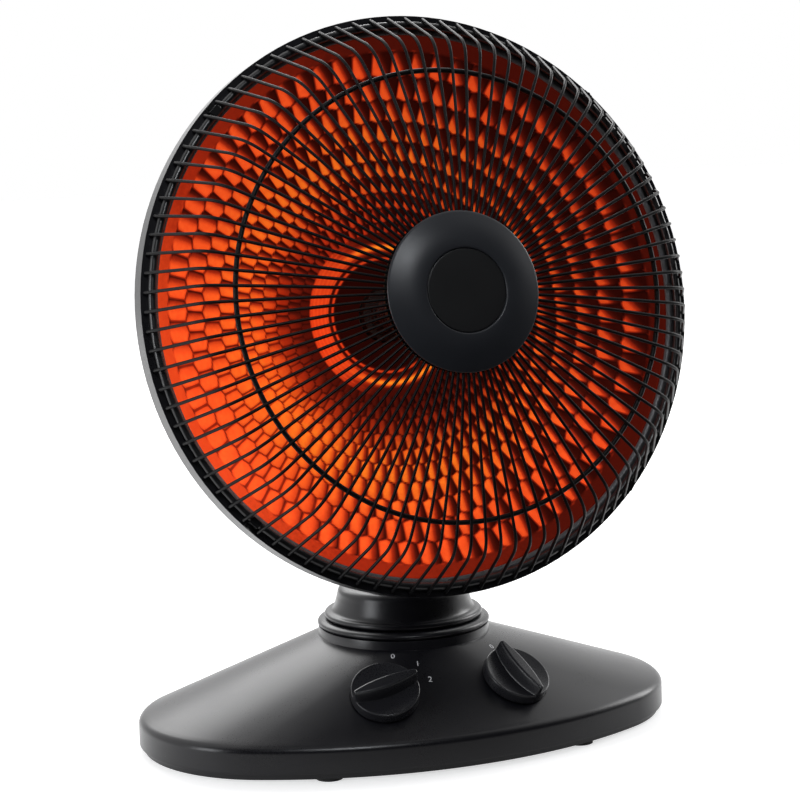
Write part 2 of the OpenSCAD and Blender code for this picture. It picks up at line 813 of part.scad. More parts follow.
module tilt_bolt() {
    color(steel)
        translate([0, 0, pivot_z])
            rotate([0, 90, 0])
                difference() {
                    union() {
                        rod(bolt_r, -ear_x - 4, ear_x);
                        rod(head_r, ear_x, ear_x + 3.5);
                    }
                    translate([0, 0, ear_x + 1.5])
                        cylinder(r = 2.6, h = 4, $fn = 6);
                }
}

module tilt_nut() {
    color(steel)
        translate([0, 0, pivot_z])
            rotate([0, -90, 0])
                difference() {
                    translate([0, 0, ear_x]) cylinder(r = head_r, h = 3.4, $fn = 6);
                    rod(bolt_r + fit / 2, 0, across);
                }
}

// ---------------------------------------------------------------- head: stalk and housing

module stalk_section(grow, z, w, d, y) {
    for (s = [-1, 1])
        translate([s * (w - d) / 2, y, z]) cylinder(r = d / 2 - grow, h = 1, $fn = 32);
}

module stalk_tube(grow) {
    low = knuckle_r * 0.4;
    hull() {
        stalk_section(grow, low, 40, 15, 0);
        stalk_section(grow, 34, 38, 19, 2);
    }
    hull() {
        stalk_section(grow, 34, 38, 19, 2);
        stalk_section(grow, pad_z - 8, 42, 20, pad_y);
        stalk_section(grow, pad_z - 1 + grow, 42, 20, pad_y);
    }
}

module stalk() {
    color(black)
        at_pivot()
            difference() {
                union() {
                    rotate([0, 90, 0]) rod(knuckle_r, -knuckle_l / 2, knuckle_l / 2);
                    stalk_tube(0);
                    translate([-pad_w / 2, pad_y - pad_d / 2, pad_z - pad_t]) cube([pad_w, pad_d, pad_t]);
                }
                difference() {
                    stalk_tube(stalk_wall);
                    rotate([0, 90, 0]) rod(knuckle_r + 2, -across, across);
                }
                rotate([0, 90, 0]) rod(bolt_r + fit, -across, across);
                for (sx = [-1, 1])
                    translate([sx * pad_screw_x, pad_y, 0])
                        rod(pad_screw_r + 0.2, pad_z - 12, pad_z + 1);
            }
}

module stalk_screws() {
    color(steel)
        at_pivot()
            for (sx = [-1, 1])
                translate([sx * pad_screw_x, pad_y, pad_z - pad_t])
                    rotate([180, 0, 0]) pan_screw(pad_screw_r, pad_t + 5, 2.7, 1.8);
}

function housing_line(off) = [for (i = [0 : bowl_steps])
    let (r = housing_r - off + (chamber_r - off - housing_r + off) * i / bowl_steps)
    [r, bowl_z(r) - bowl_gap + off * 1.2]];

module housing_outer() {
    rotate_extrude($fn = 180)
        polygon(concat([[0, lip_front], [lip_r, lip_front], [lip_r, lip_back]],
            housing_line(0), [[chamber_r, chamber_back], [0, chamber_back]]));
}

module housing_inner() {
    w = housing_wall;
    rotate_extrude($fn = 180)
        polygon(concat([[0, lip_front + 1], [lip_in, lip_front + 1], [lip_in, flange_back],
            [ledge_in, flange_back], [ledge_in, ledge_back],
            [lip_r - w, ledge_back], [lip_r - w, lip_back + 1]],
            housing_line(w), [[chamber_r - w, chamber_back + w], [0, chamber_back + w]]));
}

module rear_housing() {
    color(black)
        difference() {
            union() {
                at_dish() difference() {
                    housing_outer();
                    housing_inner();
                }
                at_pivot() difference() {
                    translate([-pad_w / 2, boss_front_y + 1, pad_z])
                        cube([pad_w, chamber_y - boss_front_y - 2, 16]);
                    translate([0, -rim_forward, rim_rise]) rotate([90, 0, 0])
                        rod(chamber_r - housing_wall / 2, chamber_back - 5, 0);
                }
                at_dish() around(3, 90)
                    translate([cover_screw_at, 0, 0])
                        rod(4, chamber_back + housing_wall - eps, chamber_back + 9);
            }
            at_dish() {
                rod(cover_r - 4, chamber_back - 1, chamber_back + housing_wall + 1);
                around(3, 90) translate([cover_screw_at, 0, 0]) rod(1.2, chamber_back - 1, chamber_back + 8);
                around(vent_count)
                    translate([vent_in, -vent_w / 2, chamber_back])
                        cube([vent_out - vent_in, vent_w, bowl_depth + 10]);
                for (a = clip_angles) rotate([0, 0, a])
                    translate([lip_screw_at, 0, 0]) rod(lip_screw_r - 0.05, ledge_back + 0.6, 1);
                around(4) translate([flange_screw_at, 0, 0]) rod(1.1, ledge_back - 1, 1);
            }
            at_pivot() {
                for (sx = [-1, 1])
                    translate([sx * pad_screw_x, pad_y, 0])
                        rod(pad_screw_r + fit, pad_z - 1, pad_z + 7);
                translate([0, pad_y, 0]) rod(6, pad_z - 1, pad_z + 22);
            }
        }
}

// Round cover over the wiring chamber, with three rows of cooling slots
module rear_cover() {
    color(satin)
        at_dish()
            translate([0, 0, chamber_back - cover_t])
                difference() {
                    union() {
                        cylinder(r = cover_r + cover_lap, h = cover_t);
                        translate([0, 0, cover_t - eps]) difference() {
                            cylinder(r = cover_r - 4.3, h = 3);
                            translate([0, 0, -1]) cylinder(r = cover_r - 6.3, h = 5);
                        }
                    }
                    around(3, 90) translate([cover_screw_at, 0, -1]) cylinder(r = 1.6, h = cover_t + 2);
                    for (i = [-3 : 3])
                        translate([-cover_slot[0] / 2, i * cover_slot[2] - cover_slot[1] / 2, -1])
                            cube([cover_slot[0], cover_slot[1], cover_t + 6]);
                }
}

module cover_screws() {
    color(steel)
        at_dish() around(3, 90)
            translate([cover_screw_at, 0, chamber_back - cover_t])
                rotate([180, 0, 0]) pan_screw(1.15, 8, 2.8, 1.6);
}

// ---------------------------------------------------------------- head: reflector and element

module reflector() {
    steps = 20;
    front = [for (i = [0 : steps]) let (r = hole_r + (bowl_r - hole_r) * i / steps) [r, bowl_z(r)]];
    back = [for (i = [steps : -1 : 0]) [front[i][0], front[i][1] - sheet_t]];
    color(steel)
        at_dish()
            difference() {
                rotate_extrude($fn = 180)
                    polygon(concat(front, [[bowl_r, flange_front], [reflector_out, flange_front],
                        [reflector_out, flange_back], [bowl_r + 0.3, flange_back],
                        [bowl_r + 0.3, bowl_z(bowl_r) - sheet_t]], back));
                around(4) translate([flange_screw_at, 0, 0]) rod(1.3, flange_back - 2, 0);
            }
}

module reflector_screws() {
    color(steel)
        at_dish() around(4)
            translate([flange_screw_at, 0, flange_front]) pan_screw(1.05, 2.6, 2.1, 1.2);
}

module thermal_cutout() {
    at = 40;
    lean = atan(at / (2 * focal));
    color(steel)
        at_dish()
            rotate([0, 0, 200])
                translate([at, 0, bowl_z(at) - sheet_t - 0.4])
                    rotate([0, -lean, 0]) {
                        rod(8, -5, 0);
                        rod(6.4, -9, -5 + eps);
                        for (s = [-1, 1]) translate([s * 3 - 0.4, -2.4, -13]) cube([0.8, 4.8, 4 + eps]);
                    }
}

module element_socket() {
    color(ceramic)
        at_dish()
            difference() {
                union() {
                    rod(socket_r, socket_back, socket_front);
                    rod(socket_rim_r, clip_front - 5.6, clip_front - 1.2);
                }
                rod(core_r - 1.45, socket_front - 8, socket_front + 1);
                for (s = [-1, 1]) translate([s * 9, 0, 0]) rod(1.5, socket_back - 1, socket_back + 4);
            }
}

// Pressed ring that holds the socket's rim against the back of the reflector
module socket_clip() {
    color(steel)
        at_dish() {
            ring(socket_rim_r + 1.4, socket_r + 0.4, clip_front - 1.1, clip_front);
            ring(socket_rim_r + 1.4, socket_rim_r + 0.3, clip_front - 7, clip_front - 1.1 + eps);
        }
}

module element_core() {
    grooves = floor((core_l - 10) / groove_pitch);
    color(ceramic)
        at_dish()
            union() {
                rod(core_r - 1.5, socket_front - 7.5, core_front - 4);
                for (i = [0 : grooves])
                    translate([0, 0, socket_front + groove_pitch * i])
                        rod(core_r, eps, groove_pitch * 0.7);
                rod(core_r + core_flange_w, core_front - core_flange_t, core_front);
                rod(core_r + core_flange_w, socket_front + eps, socket_front + core_flange_t - 0.8);
            }
}

module element_coil() {
    n = len(coil_points);
    verts = [for (i = [0 : n - 1])
        let (a = 360 * i / coil_rings, out = [cos(a), sin(a), 0], up = [0, 0, 1])
        for (k = [0 : coil_sides - 1])
            let (b = 360 * k / coil_sides)
            coil_points[i] + coil_wire_r * (cos(b) * out + sin(b) * up)];
    sides = [for (i = [0 : n - 2], k = [0 : coil_sides - 1])
        let (k2 = (k + 1) % coil_sides, p = i * coil_sides, q = p + coil_sides)
        each [[p + k, q + k, p + k2], [p + k2, q + k, q + k2]]];
    first = [for (k = [1 : coil_sides - 2]) [0, k, k + 1]];
    last_ring = (n - 1) * coil_sides;
    last = [for (k = [1 : coil_sides - 2]) [last_ring, last_ring + k + 1, last_ring + k]];
    color(glow) at_dish() polyhedron(concat(verts), concat(sides, first, last), convexity = 10);
}

// ---------------------------------------------------------------- head: guard

module guard_ring() {
    color(black)
        at_dish()
            rotate_extrude($fn = 180) translate([guard_r, 0]) circle(r = guard_ring_wire, $fn = 32);
}

module support_ring() {
    place = ring_place(support_r);
    color(black) at_dish() hoop(place[0], thin_ring_wire, place[1]);
}

module inner_ring() {
    place = ring_place(inner_ring_r);
    color(black) at_dish() hoop(place[0], thin_ring_wire, place[1]);
}

// Part of a circle of wire in the XZ plane, from one angle to another
module wire_arc(centre, r, from, to, steps) {
    translate([centre[0], 0, centre[1]])
        rotate([90, 0, 0])
            rotate([0, 0, from])
                rotate_extrude(angle = to - from, $fn = steps)
                    translate([r, 0]) circle(r = guard_wire, $fn = 16);
}

// The guard wires over the face: long flat arcs from under the cap to the bend
module guard_wires() {
    face_to = 90 - asin(wire_in_r / guard_face_r);
    color(black)
        at_dish() around(guard_count, wire_phase)
            wire_arc(face_c, guard_face_r, bend_top, face_to, 720);
}

// The ends of the same wires: the bend, then straight and steep down to the outer ring
module guard_leg() {
    tail = leg_foot - leg_tail * leg_dir;
    bend_end = bend_c - guard_bend_r * leg_in;
    short = wire_joint_gap * 180 / PI / guard_bend_r;
    wire_arc(bend_c, guard_bend_r, bend_low + short, bend_top, 48);
    translate([tail[0], 0, tail[1]])
        rotate([0, guard_leg_angle - 90, 0])
            cylinder(r = guard_wire, h = bend_l + leg_tail - wire_joint_gap, $fn = 16);
    translate([bend_end[0], 0, bend_end[1]]) sphere(r = guard_wire + wire_bead, $fn = 24);
}

module guard_legs() {
    color(black) at_dish() around(guard_count, wire_phase) guard_leg();
}

// Hook that holds the outer ring down on the lip, screwed beside it
module guard_clip() {
    over = clip_top + clip_t;
    hook_in = guard_r - 1;
    back_in = guard_r + guard_ring_wire + 0.05;
    translate([0, clip_w / 2, 0]) rotate([90, 0, 0]) linear_extrude(clip_w)
        polygon([[lip_r - 0.2, lip_front], [lip_r - 0.2, lip_front + clip_t],
            [back_in + clip_t, lip_front + clip_t], [back_in + clip_t, over],
            [hook_in, over], [hook_in, clip_top], [back_in, clip_top], [back_in, lip_front]]);
}

module guard_clips() {
    color(black)
        at_dish()
            for (a = clip_angles)
                rotate([0, 0, a])
                    difference() {
                        guard_clip();
                        translate([lip_screw_at, 0, 0]) rod(lip_screw_r + fit, lip_front - 1, 5);
                    }
}

module clip_screws() {
    color(steel)
        at_dish()
            for (a = clip_angles)
                rotate([0, 0, a])
                    translate([lip_screw_at, 0, lip_front + clip_t])
                        pan_screw(lip_screw_r - 0.1, 5, lip_screw_head, 1, false);
}

// ---------------------------------------------------------------- head: cap

module cap() {
    arc = [for (i = [0 : 8])
        let (t = i / 8)
        [cap_r - 0.6 - (cap_r - 1.6 - cap_disc_r) * t, cap_edge + 1.6 + cap_rise * sin(90 * t)]];
    color(satin)
        at_dish() {
            rotate_extrude()
                polygon(concat([[cap_r - cap_wall, cap_edge], [cap_r, cap_edge], [cap_r, cap_edge + 1]], arc,
                    [[cap_disc_r, cap_top - 0.4], [cap_disc_r, cap_top - 1.4], [0, cap_top - 1.4],
                     [0, cap_top - 3.2], [cap_disc_r + 1, cap_top - 3.2],
                     [cap_r - cap_wall - 2, cap_edge + 2.6], [cap_r - cap_wall, cap_edge + 1]]));
            ring(cap_post_r, 1.3, plate_front - pan_depth + pan_t, cap_top - 3.2 + eps);
        }
}

module cap_disc() {
    color(black) at_dish() rod(cap_disc_r - fit, cap_top - 1.4, cap_top - 0.5);
}

// Steel pan that clamps the inner ring to the cap and shades the cap from the element
module cap_plate() {
    pan_back = plate_front - pan_depth;
    color(steel)
        at_dish()
            difference() {
                union() {
                    rod(pan_r, pan_back, plate_front);
                    rod(cap_r - 0.4, plate_front - pan_t, plate_front);
                }
                rod(pan_r - pan_t, pan_back + pan_t, plate_front + 1);
                rod(pan_screw_hole_r, pan_back - 1, plate_front);
            }
}

module cap_screw() {
    color(steel)
        at_dish()
            translate([0, 0, plate_front - pan_depth])
                rotate([180, 0, 0]) pan_screw(1.25, pan_depth + 6, 3.2, 2);
}

// The frame's origin is under the middle of the whole heater, so the swivel axis stands behind it
module placed() {
    translate([0, axis_y, 0]) children();
}

placed() base_shell();
placed() bottom_plate();
placed() base_screws();
placed() rubber_feet();
placed() collar_ring();
placed() swivel_bush();
placed() glide_washer();
placed() heat_switch();
placed() swing_switch();
placed() switch_nuts();
placed() motor();
placed() motor_screws();
placed() tip_switch();
placed() terminal_block();
placed() cord_inlet();
placed() heat_knob();
placed() heat_shaft();
placed() swing_knob();
placed() swing_shaft();
placed() tip_plunger();
placed() crank();
placed() neck_shell();
placed() spindle();
placed() spindle_screws();
placed() spindle_nut();
placed() swivel_arm();
placed() friction_washers();
placed() tilt_bolt();
placed() tilt_nut();
placed() stalk();
placed() stalk_screws();
placed() rear_housing();
placed() rear_cover();
placed() cover_screws();
placed() reflector();
placed() reflector_screws();
placed() thermal_cutout();
placed() element_socket();
placed() socket_clip();
placed() element_core();
placed() element_coil();
placed() guard_ring();
placed() support_ring();
placed() inner_ring();
placed() guard_wires();
placed() guard_legs();
placed() guard_clips();
placed() clip_screws();
placed() cap();
placed() cap_disc();
placed() cap_plate();
placed() cap_screw();
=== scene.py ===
"""Dish heater: smooth base, dials, dimpled reflector, glowing coil, wire guard and cap."""
import math

import bmesh
import bpy
import numpy as np
from mathutils import Matrix, Vector


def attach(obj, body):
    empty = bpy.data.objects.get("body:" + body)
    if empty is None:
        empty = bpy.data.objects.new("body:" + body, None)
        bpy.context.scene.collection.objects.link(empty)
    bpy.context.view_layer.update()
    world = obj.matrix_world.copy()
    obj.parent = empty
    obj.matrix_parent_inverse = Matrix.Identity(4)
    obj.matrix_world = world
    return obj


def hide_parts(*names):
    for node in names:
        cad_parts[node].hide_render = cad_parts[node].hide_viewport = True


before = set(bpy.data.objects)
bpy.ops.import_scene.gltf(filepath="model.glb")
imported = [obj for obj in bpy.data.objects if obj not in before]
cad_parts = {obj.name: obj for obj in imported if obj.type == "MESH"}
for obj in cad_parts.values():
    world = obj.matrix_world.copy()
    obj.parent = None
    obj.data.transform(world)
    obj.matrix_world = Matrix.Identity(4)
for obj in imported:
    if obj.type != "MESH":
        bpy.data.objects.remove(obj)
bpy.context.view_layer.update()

# ------------------------------------------------------------------ places, in metres

AXIS_Y = 0.006376                     # swivel axis
HEAD_TILT = math.radians(11.4)
RIM = np.array([0.0, -0.043930, 0.272505])       # middle of the dish's rim
FORWARD = np.array([0.0, -math.cos(HEAD_TILT), math.sin(HEAD_TILT)])
UPWARD = np.array([0.0, math.sin(HEAD_TILT), math.cos(HEAD_TILT)])
SIDEWAYS = np.array([1.0, 0.0, 0.0])
DIAL_AT = (0.042, -0.073 + AXIS_Y, 0.0419238)
DIAL_YAW = math.radians(16)
DIAL_SLOPE = math.radians(35)


def on_dish(x, y, z):
    """Points from the dish's own axes (x sideways, y up, z forwards from the rim) to the room."""
    x, y, z = np.broadcast_arrays(x, y, z)
    return RIM + x[..., None] * SIDEWAYS + y[..., None] * UPWARD + z[..., None] * FORWARD


def dial_place(side):
    """Matrix of a dial's own axes: z square to the slope, y up the slope, origin on the slope."""
    place = Matrix.Translation(Vector((side * DIAL_AT[0], DIAL_AT[1], DIAL_AT[2])))
    place = place @ Matrix.Rotation(side * DIAL_YAW, 4, "Z")
    return place @ Matrix.Rotation(DIAL_SLOPE, 4, "X")


# ------------------------------------------------------------------ camera, before all else

def set_camera():
    """Camera of the photograph: 1.5 m away, to the left of the heater and a little above it."""
    right = Vector((0.92788173, -0.37188672, -0.02712520))
    up = Vector((0.06919377, 0.10024671, 0.99255369))
    back = right.cross(up)
    turn = Matrix((right, up, back)).transposed().to_4x4()
    data = bpy.data.cameras.new("camera")
    data.lens = 109.71
    data.sensor_width = 36
    data.sensor_fit = "HORIZONTAL"
    data.shift_x = 0.00068
    data.shift_y = -0.07024
    data.clip_start = 0.05
    camera = bpy.data.objects.new("camera", data)
    camera.matrix_world = Matrix.Translation((-0.550281, -1.392039 + AXIS_Y, 0.421807)) @ turn
    bpy.context.scene.collection.objects.link(camera)
    bpy.context.scene.camera = camera


set_camera()

# ------------------------------------------------------------------ mesh making


def make_object(name, verts, faces, smooth=True, marks=None):
    """Object from vertices and faces, with named marks on its points; doubles at poles and seams
    are merged. The faces' order has to turn them outwards."""
    mesh = bpy.data.meshes.new(name)
    mesh.from_pydata(np.asarray(verts, float).reshape(-1, 3).tolist(), [], faces)
    for key, values in (marks or {}).items():
        layer = mesh.attributes.new(key, "FLOAT", "POINT")
        layer.data.foreach_set("value", np.asarray(values, np.float32).ravel())
    work = bmesh.new()
    work.from_mesh(mesh)
    bmesh.ops.remove_doubles(work, verts=work.verts, dist=2e-7)
    bmesh.ops.dissolve_degenerate(work, edges=work.edges, dist=1e-8)
    work.to_mesh(mesh)
    work.free()
    mesh.polygons.foreach_set("use_smooth", np.full(len(mesh.polygons), smooth))
    obj = bpy.data.objects.new(name, mesh)
    bpy.context.scene.collection.objects.link(obj)
    return obj


def grid_faces(nu, nv, close_u=False, close_v=False, start=0):
    """Quads of an nu by nv grid, row by row; close_u and close_v join its last line to its first."""
    u = np.arange(nu if close_u else nu - 1)
    v = np.arange(nv if close_v else nv - 1)
    u, v = np.meshgrid(u, v, indexing="ij")
    u1, v1 = (u + 1) % nu, (v + 1) % nv
    quads = np.stack([u * nv + v, u1 * nv + v, u1 * nv + v1, u * nv + v1], -1).reshape(-1, 4)
    return (quads + start).tolist()


def lathe(name, profile, turns=192, place=on_dish):
    """Surface of revolution: the point (r, z) of the profile goes to (r cos a, r sin a, z)."""
    profile = np.asarray(profile, float)
    a = np.linspace(0, 2 * np.pi, turns, endpoint=False)
    r, z = profile[:, 0][None, :], profile[:, 1][None, :]
    points = place(r * np.cos(a)[:, None], r * np.sin(a)[:, None], z + 0 * a[:, None])
    return make_object(name, points, grid_faces(turns, len(profile), close_u=True))


def face_outwards(obj):
    """Turns the faces of a closed piece outwards."""
    work = bmesh.new()
    work.from_mesh(obj.data)
    bmesh.ops.recalc_face_normals(work, faces=work.faces)
    work.to_mesh(obj.data)
    work.free()


def finish_piece(obj, body, slot, material, *nodes, sharp=None):
    """Gives a piece its finish and its body, and lets it stand for its CAD nodes."""
    obj.data.materials.clear()
    obj.data.materials.append(material)
    if sharp is not None:
        obj.data.set_sharp_from_angle(angle=math.radians(sharp))
    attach(obj, body)
    if nodes:
        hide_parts(*nodes)
    return obj


# ------------------------------------------------------------------ finishes


def new_finish(name):
    """Empty node material with its shader, and a helper that adds and joins nodes."""
    material = bpy.data.materials.new(name)
    material.use_nodes = True
    nodes, links = material.node_tree.nodes, material.node_tree.links
    shader = nodes["Principled BSDF"]

    def node(kind, settings=None, **inputs):
        made = nodes.new(kind)
        for key, value in (settings or {}).items():
            setattr(made, key, value)
        for key, value in inputs.items():
            key = key.replace("_", " ") if key.replace("_", " ") in made.inputs else key
            if hasattr(value, "links") or isinstance(value, bpy.types.NodeSocket):
                links.new(value, made.inputs[key])
            else:
                made.inputs[key].default_value = value
        return made

    return material, shader, node, links


def grained(name, colour, rough, grain=900.0, bump=0.05, spread=0.25, rough_spread=0.06, metallic=0.0,
            shine=0.5):
    """Moulded or coated surface: colour and roughness drift slowly, with a fine grain in relief."""
    material, shader, node, links = new_finish(name)
    where = node("ShaderNodeTexCoord").outputs["Object"]
    drift = node("ShaderNodeTexNoise", Vector=where, Scale=22.0, Detail=5.0, Roughness=0.6)
    fine = node("ShaderNodeTexNoise", Vector=where, Scale=grain, Detail=3.0, Roughness=0.55)
    ramp = node("ShaderNodeMapRange", Value=drift.outputs["Fac"])
    ramp.inputs["To Min"].default_value = 1 - spread
    ramp.inputs["To Max"].default_value = 1 + spread
    tone = node("ShaderNodeVectorMath", {"operation": "SCALE"})
    tone.inputs[0].default_value = colour
    links.new(ramp.outputs["Result"], tone.inputs["Scale"])
    links.new(tone.outputs["Vector"], shader.inputs["Base Color"])
    both = node("ShaderNodeMath", {"operation": "ADD"})
    links.new(drift.outputs["Fac"], both.inputs[0])
    links.new(fine.outputs["Fac"], both.inputs[1])
    gloss = node("ShaderNodeMapRange", Value=both.outputs["Value"])
    gloss.inputs["From Min"].default_value = 0.5
    gloss.inputs["From Max"].default_value = 1.5
    gloss.inputs["To Min"].default_value = rough - rough_spread
    gloss.inputs["To Max"].default_value = rough + rough_spread
    links.new(gloss.outputs["Result"], shader.inputs["Roughness"])
    relief = node("ShaderNodeBump", Strength=bump, Distance=0.0004, Height=fine.outputs["Fac"])
    links.new(relief.outputs["Normal"], shader.inputs["Normal"])
    shader.inputs["Metallic"].default_value = metallic
    shader.inputs["Specular IOR Level"].default_value = shine
    return material


BLACK_PLASTIC = grained("black_plastic", (0.0068, 0.0066, 0.0090), 0.30, grain=1500, bump=0.06)
SATIN_PLASTIC = grained("satin_plastic", (0.028, 0.030, 0.036), 0.36, grain=1500, bump=0.05)
KNOB_PLASTIC = grained("knob_plastic", (0.016, 0.016, 0.019), 0.28, grain=1800, bump=0.04)
DISC_PLASTIC = grained("disc_plastic", (0.0125, 0.0125, 0.0135), 0.42, grain=2200, bump=0.05)
GREY_PLASTIC = grained("grey_plastic", (0.24, 0.24, 0.25), 0.5, grain=900, bump=0.08, spread=0.08)
RUBBER = grained("rubber", (0.016, 0.016, 0.016), 0.75, grain=700, bump=0.18)
GUARD_PAINT = grained("guard_paint", (0.0045, 0.0045, 0.005), 0.45, grain=1200, bump=0.06, shine=0.22)
RIM_PAINT = grained("rim_paint", (0.014, 0.014, 0.015), 0.30, grain=1200, bump=0.05, shine=0.7)
DARK_CERAMIC = grained("dark_ceramic", (0.020, 0.013, 0.011), 0.6, grain=700, bump=0.12, spread=0.3)
BRASS = grained("brass", (0.72, 0.52, 0.22), 0.3, grain=1500, bump=0.05, spread=0.08, metallic=1.0)
ZINC = grained("zinc_steel", (0.56, 0.57, 0.58), 0.34, grain=1300, bump=0.05, spread=0.1, metallic=1.0)
FLANGE_METAL = grained("flange_metal", (0.16, 0.16, 0.165), 0.45, grain=900, bump=0.08, spread=0.12,
                       metallic=0.6)
PAN_STEEL = grained("pan_steel", (0.040, 0.040, 0.028), 0.55, grain=900, bump=0.08, spread=0.2, metallic=0.3)
DARK_STEEL = grained("dark_steel", (0.03, 0.028, 0.026), 0.55, grain=700, bump=0.12, spread=0.3, metallic=0.7)
PRINT = grained("white_print", (0.80, 0.80, 0.82), 0.6, grain=2500, bump=0.03, spread=0.05)


def painted_glow_reflector():
    """Reflector sheet with painted light: marks on the mesh set an orange emission that stands in for the hot
    coil's light reflected in the dimples, and the same colour tints the metal.
    """
    material, shader, node, links = new_finish("reflector_metal")
    level = node("ShaderNodeAttribute", {"attribute_name": "glow"}).outputs["Fac"]
    warmth = node("ShaderNodeAttribute", {"attribute_name": "warmth"}).outputs["Fac"]
    where = node("ShaderNodeTexCoord").outputs["Object"]
    mottle = node("ShaderNodeTexNoise", Vector=where, Scale=260.0, Detail=4.0, Roughness=0.65)
    shift = node("ShaderNodeMapRange", Value=mottle.outputs["Fac"])
    shift.inputs["To Min"].default_value = 0.86
    shift.inputs["To Max"].default_value = 1.12
    # painted glow, varied a little at random over the sheet
    lit = node("ShaderNodeMath", {"operation": "MULTIPLY"})
    links.new(level, lit.inputs[0])
    links.new(shift.outputs["Result"], lit.inputs[1])

    def ramp(stops):
        made = node("ShaderNodeValToRGB", Fac=lit.outputs["Value"])
        band = made.color_ramp
        while len(band.elements) < len(stops):
            band.elements.new(0.5)
        for element, (at, colour) in zip(band.elements, stops):
            element.position = at
            element.color = (*colour, 1)
        return made.outputs["Color"]

    # colours of the painted glow: dark red through orange, and a yellower amber
    red = ramp([(0.0, (0.0030, 0.0008, 0.0006)), (0.3, (0.066, 0.0050, 0.0024)),
                (0.55, (0.30, 0.0176, 0.0044)), (0.8, (0.73, 0.065, 0.0116)), (1.0, (0.99, 0.130, 0.021))])
    amber = ramp([(0.0, (0.0030, 0.0009, 0.0006)), (0.3, (0.070, 0.0075, 0.0024)),
                  (0.55, (0.30, 0.032, 0.0044)), (0.8, (0.76, 0.140, 0.010)), (1.0, (1.0, 0.300, 0.016))])
    blend = node("ShaderNodeMix", {"data_type": "RGBA"})
    links.new(warmth, blend.inputs["Factor"])
    links.new(red, blend.inputs["A"])
    links.new(amber, blend.inputs["B"])
    # the painted glow is the emission and also the metal's colour
    links.new(blend.outputs["Result"], shader.inputs["Emission Color"])
    shader.inputs["Emission Strength"].default_value = 1.0
    shader.inputs["Metallic"].default_value = 1.0
    links.new(blend.outputs["Result"], shader.inputs["Base Color"])
    gloss = node("ShaderNodeMapRange", Value=mottle.outputs["Fac"])
    gloss.inputs["To Min"].default_value = 0.3
    gloss.inputs["To Max"].default_value = 0.5
    links.new(gloss.outputs["Result"], shader.inputs["Roughness"])
    return material


def glowing_wire():
    """Hot resistance wire: orange light that varies a little along the winding."""
    material, shader, node, links = new_finish("glowing_wire")
    where = node("ShaderNodeTexCoord").outputs["Object"]
    heat = node("ShaderNodeTexNoise", Vector=where, Scale=70.0, Detail=2.0)
    colour = node("ShaderNodeValToRGB", Fac=heat.outputs["Fac"])
    colour.color_ramp.elements[0].position = 0.3
    colour.color_ramp.elements[0].color = (1.0, 0.16, 0.02, 1)
    colour.color_ramp.elements[1].position = 0.7
    colour.color_ramp.elements[1].color = (1.0, 0.36, 0.07, 1)
    links.new(colour.outputs["Color"], shader.inputs["Emission Color"])
    hot = node("ShaderNodeAttribute", {"attribute_name": "hot"}).outputs["Fac"]
    power = node("ShaderNodeMapRange", Value=hot)
    power.inputs["To Max"].default_value = 1.6
    links.new(power.outputs["Result"], shader.inputs["Emission Strength"])
    shader.inputs["Base Color"].default_value = (0.05, 0.02, 0.015, 1)
    shader.inputs["Roughness"].default_value = 0.6
    return material


REFLECTOR_PAINTED_GLOW = painted_glow_reflector()
HOT_WIRE = glowing_wire()

# ------------------------------------------------------------------ reflector

ROW_EDGES = np.array([156.0, 142, 129, 117, 105.6, 94.4, 85, 75.6, 66.4, 57.8, 51.0])
PERIOD = math.radians(5)
SPREAD = 1.25                        # how much taller than wide a dimple's own curve is


def smooth(low, high, x):
    """Smooth step from 0 at low to 1 at high: t^2 (3 - 2t)."""
    t = np.clip((x - low) / (high - low), 0, 1)
    return t * t * (3 - 2 * t)


def dimples(r, a):
    """Staggered dimples, 72 to a row. A point belongs to the nearest centre, where nearness is
    sqrt(s^2 + (SPREAD v)^2), s in widths round the dish and v in rows outwards.
    Gives s and v from that centre, and how much nearer it is than the second nearest."""
    rows = len(ROW_EDGES) - 1
    edge = ROW_EDGES[::-1]
    place = rows - np.interp(r, edge, np.arange(rows + 1.0))      # 0 at the outer edge
    best = np.full(r.shape, 9.0)
    second = np.full(r.shape, 9.0)
    best_s, best_v = np.zeros(r.shape), np.zeros(r.shape)
    for step in (-1, 0, 1):
        row = np.floor(place) + step
        shift = np.radians(np.where(row % 2 == 0, 2.3, 4.8))
        s = ((a - shift) / PERIOD + 0.5) % 1.0 - 0.5
        v = row + 0.5 - place
        for side in (-1, 0, 1):
            near = np.sqrt((s + side) ** 2 + (SPREAD * v) ** 2)
            nearer = near < best
            second = np.where(nearer, best, np.minimum(second, near))
            best_s = np.where(nearer, s + side, best_s)
            best_v = np.where(nearer, v, best_v)
            best = np.where(nearer, near, best)
    return best_s, best_v, second - best


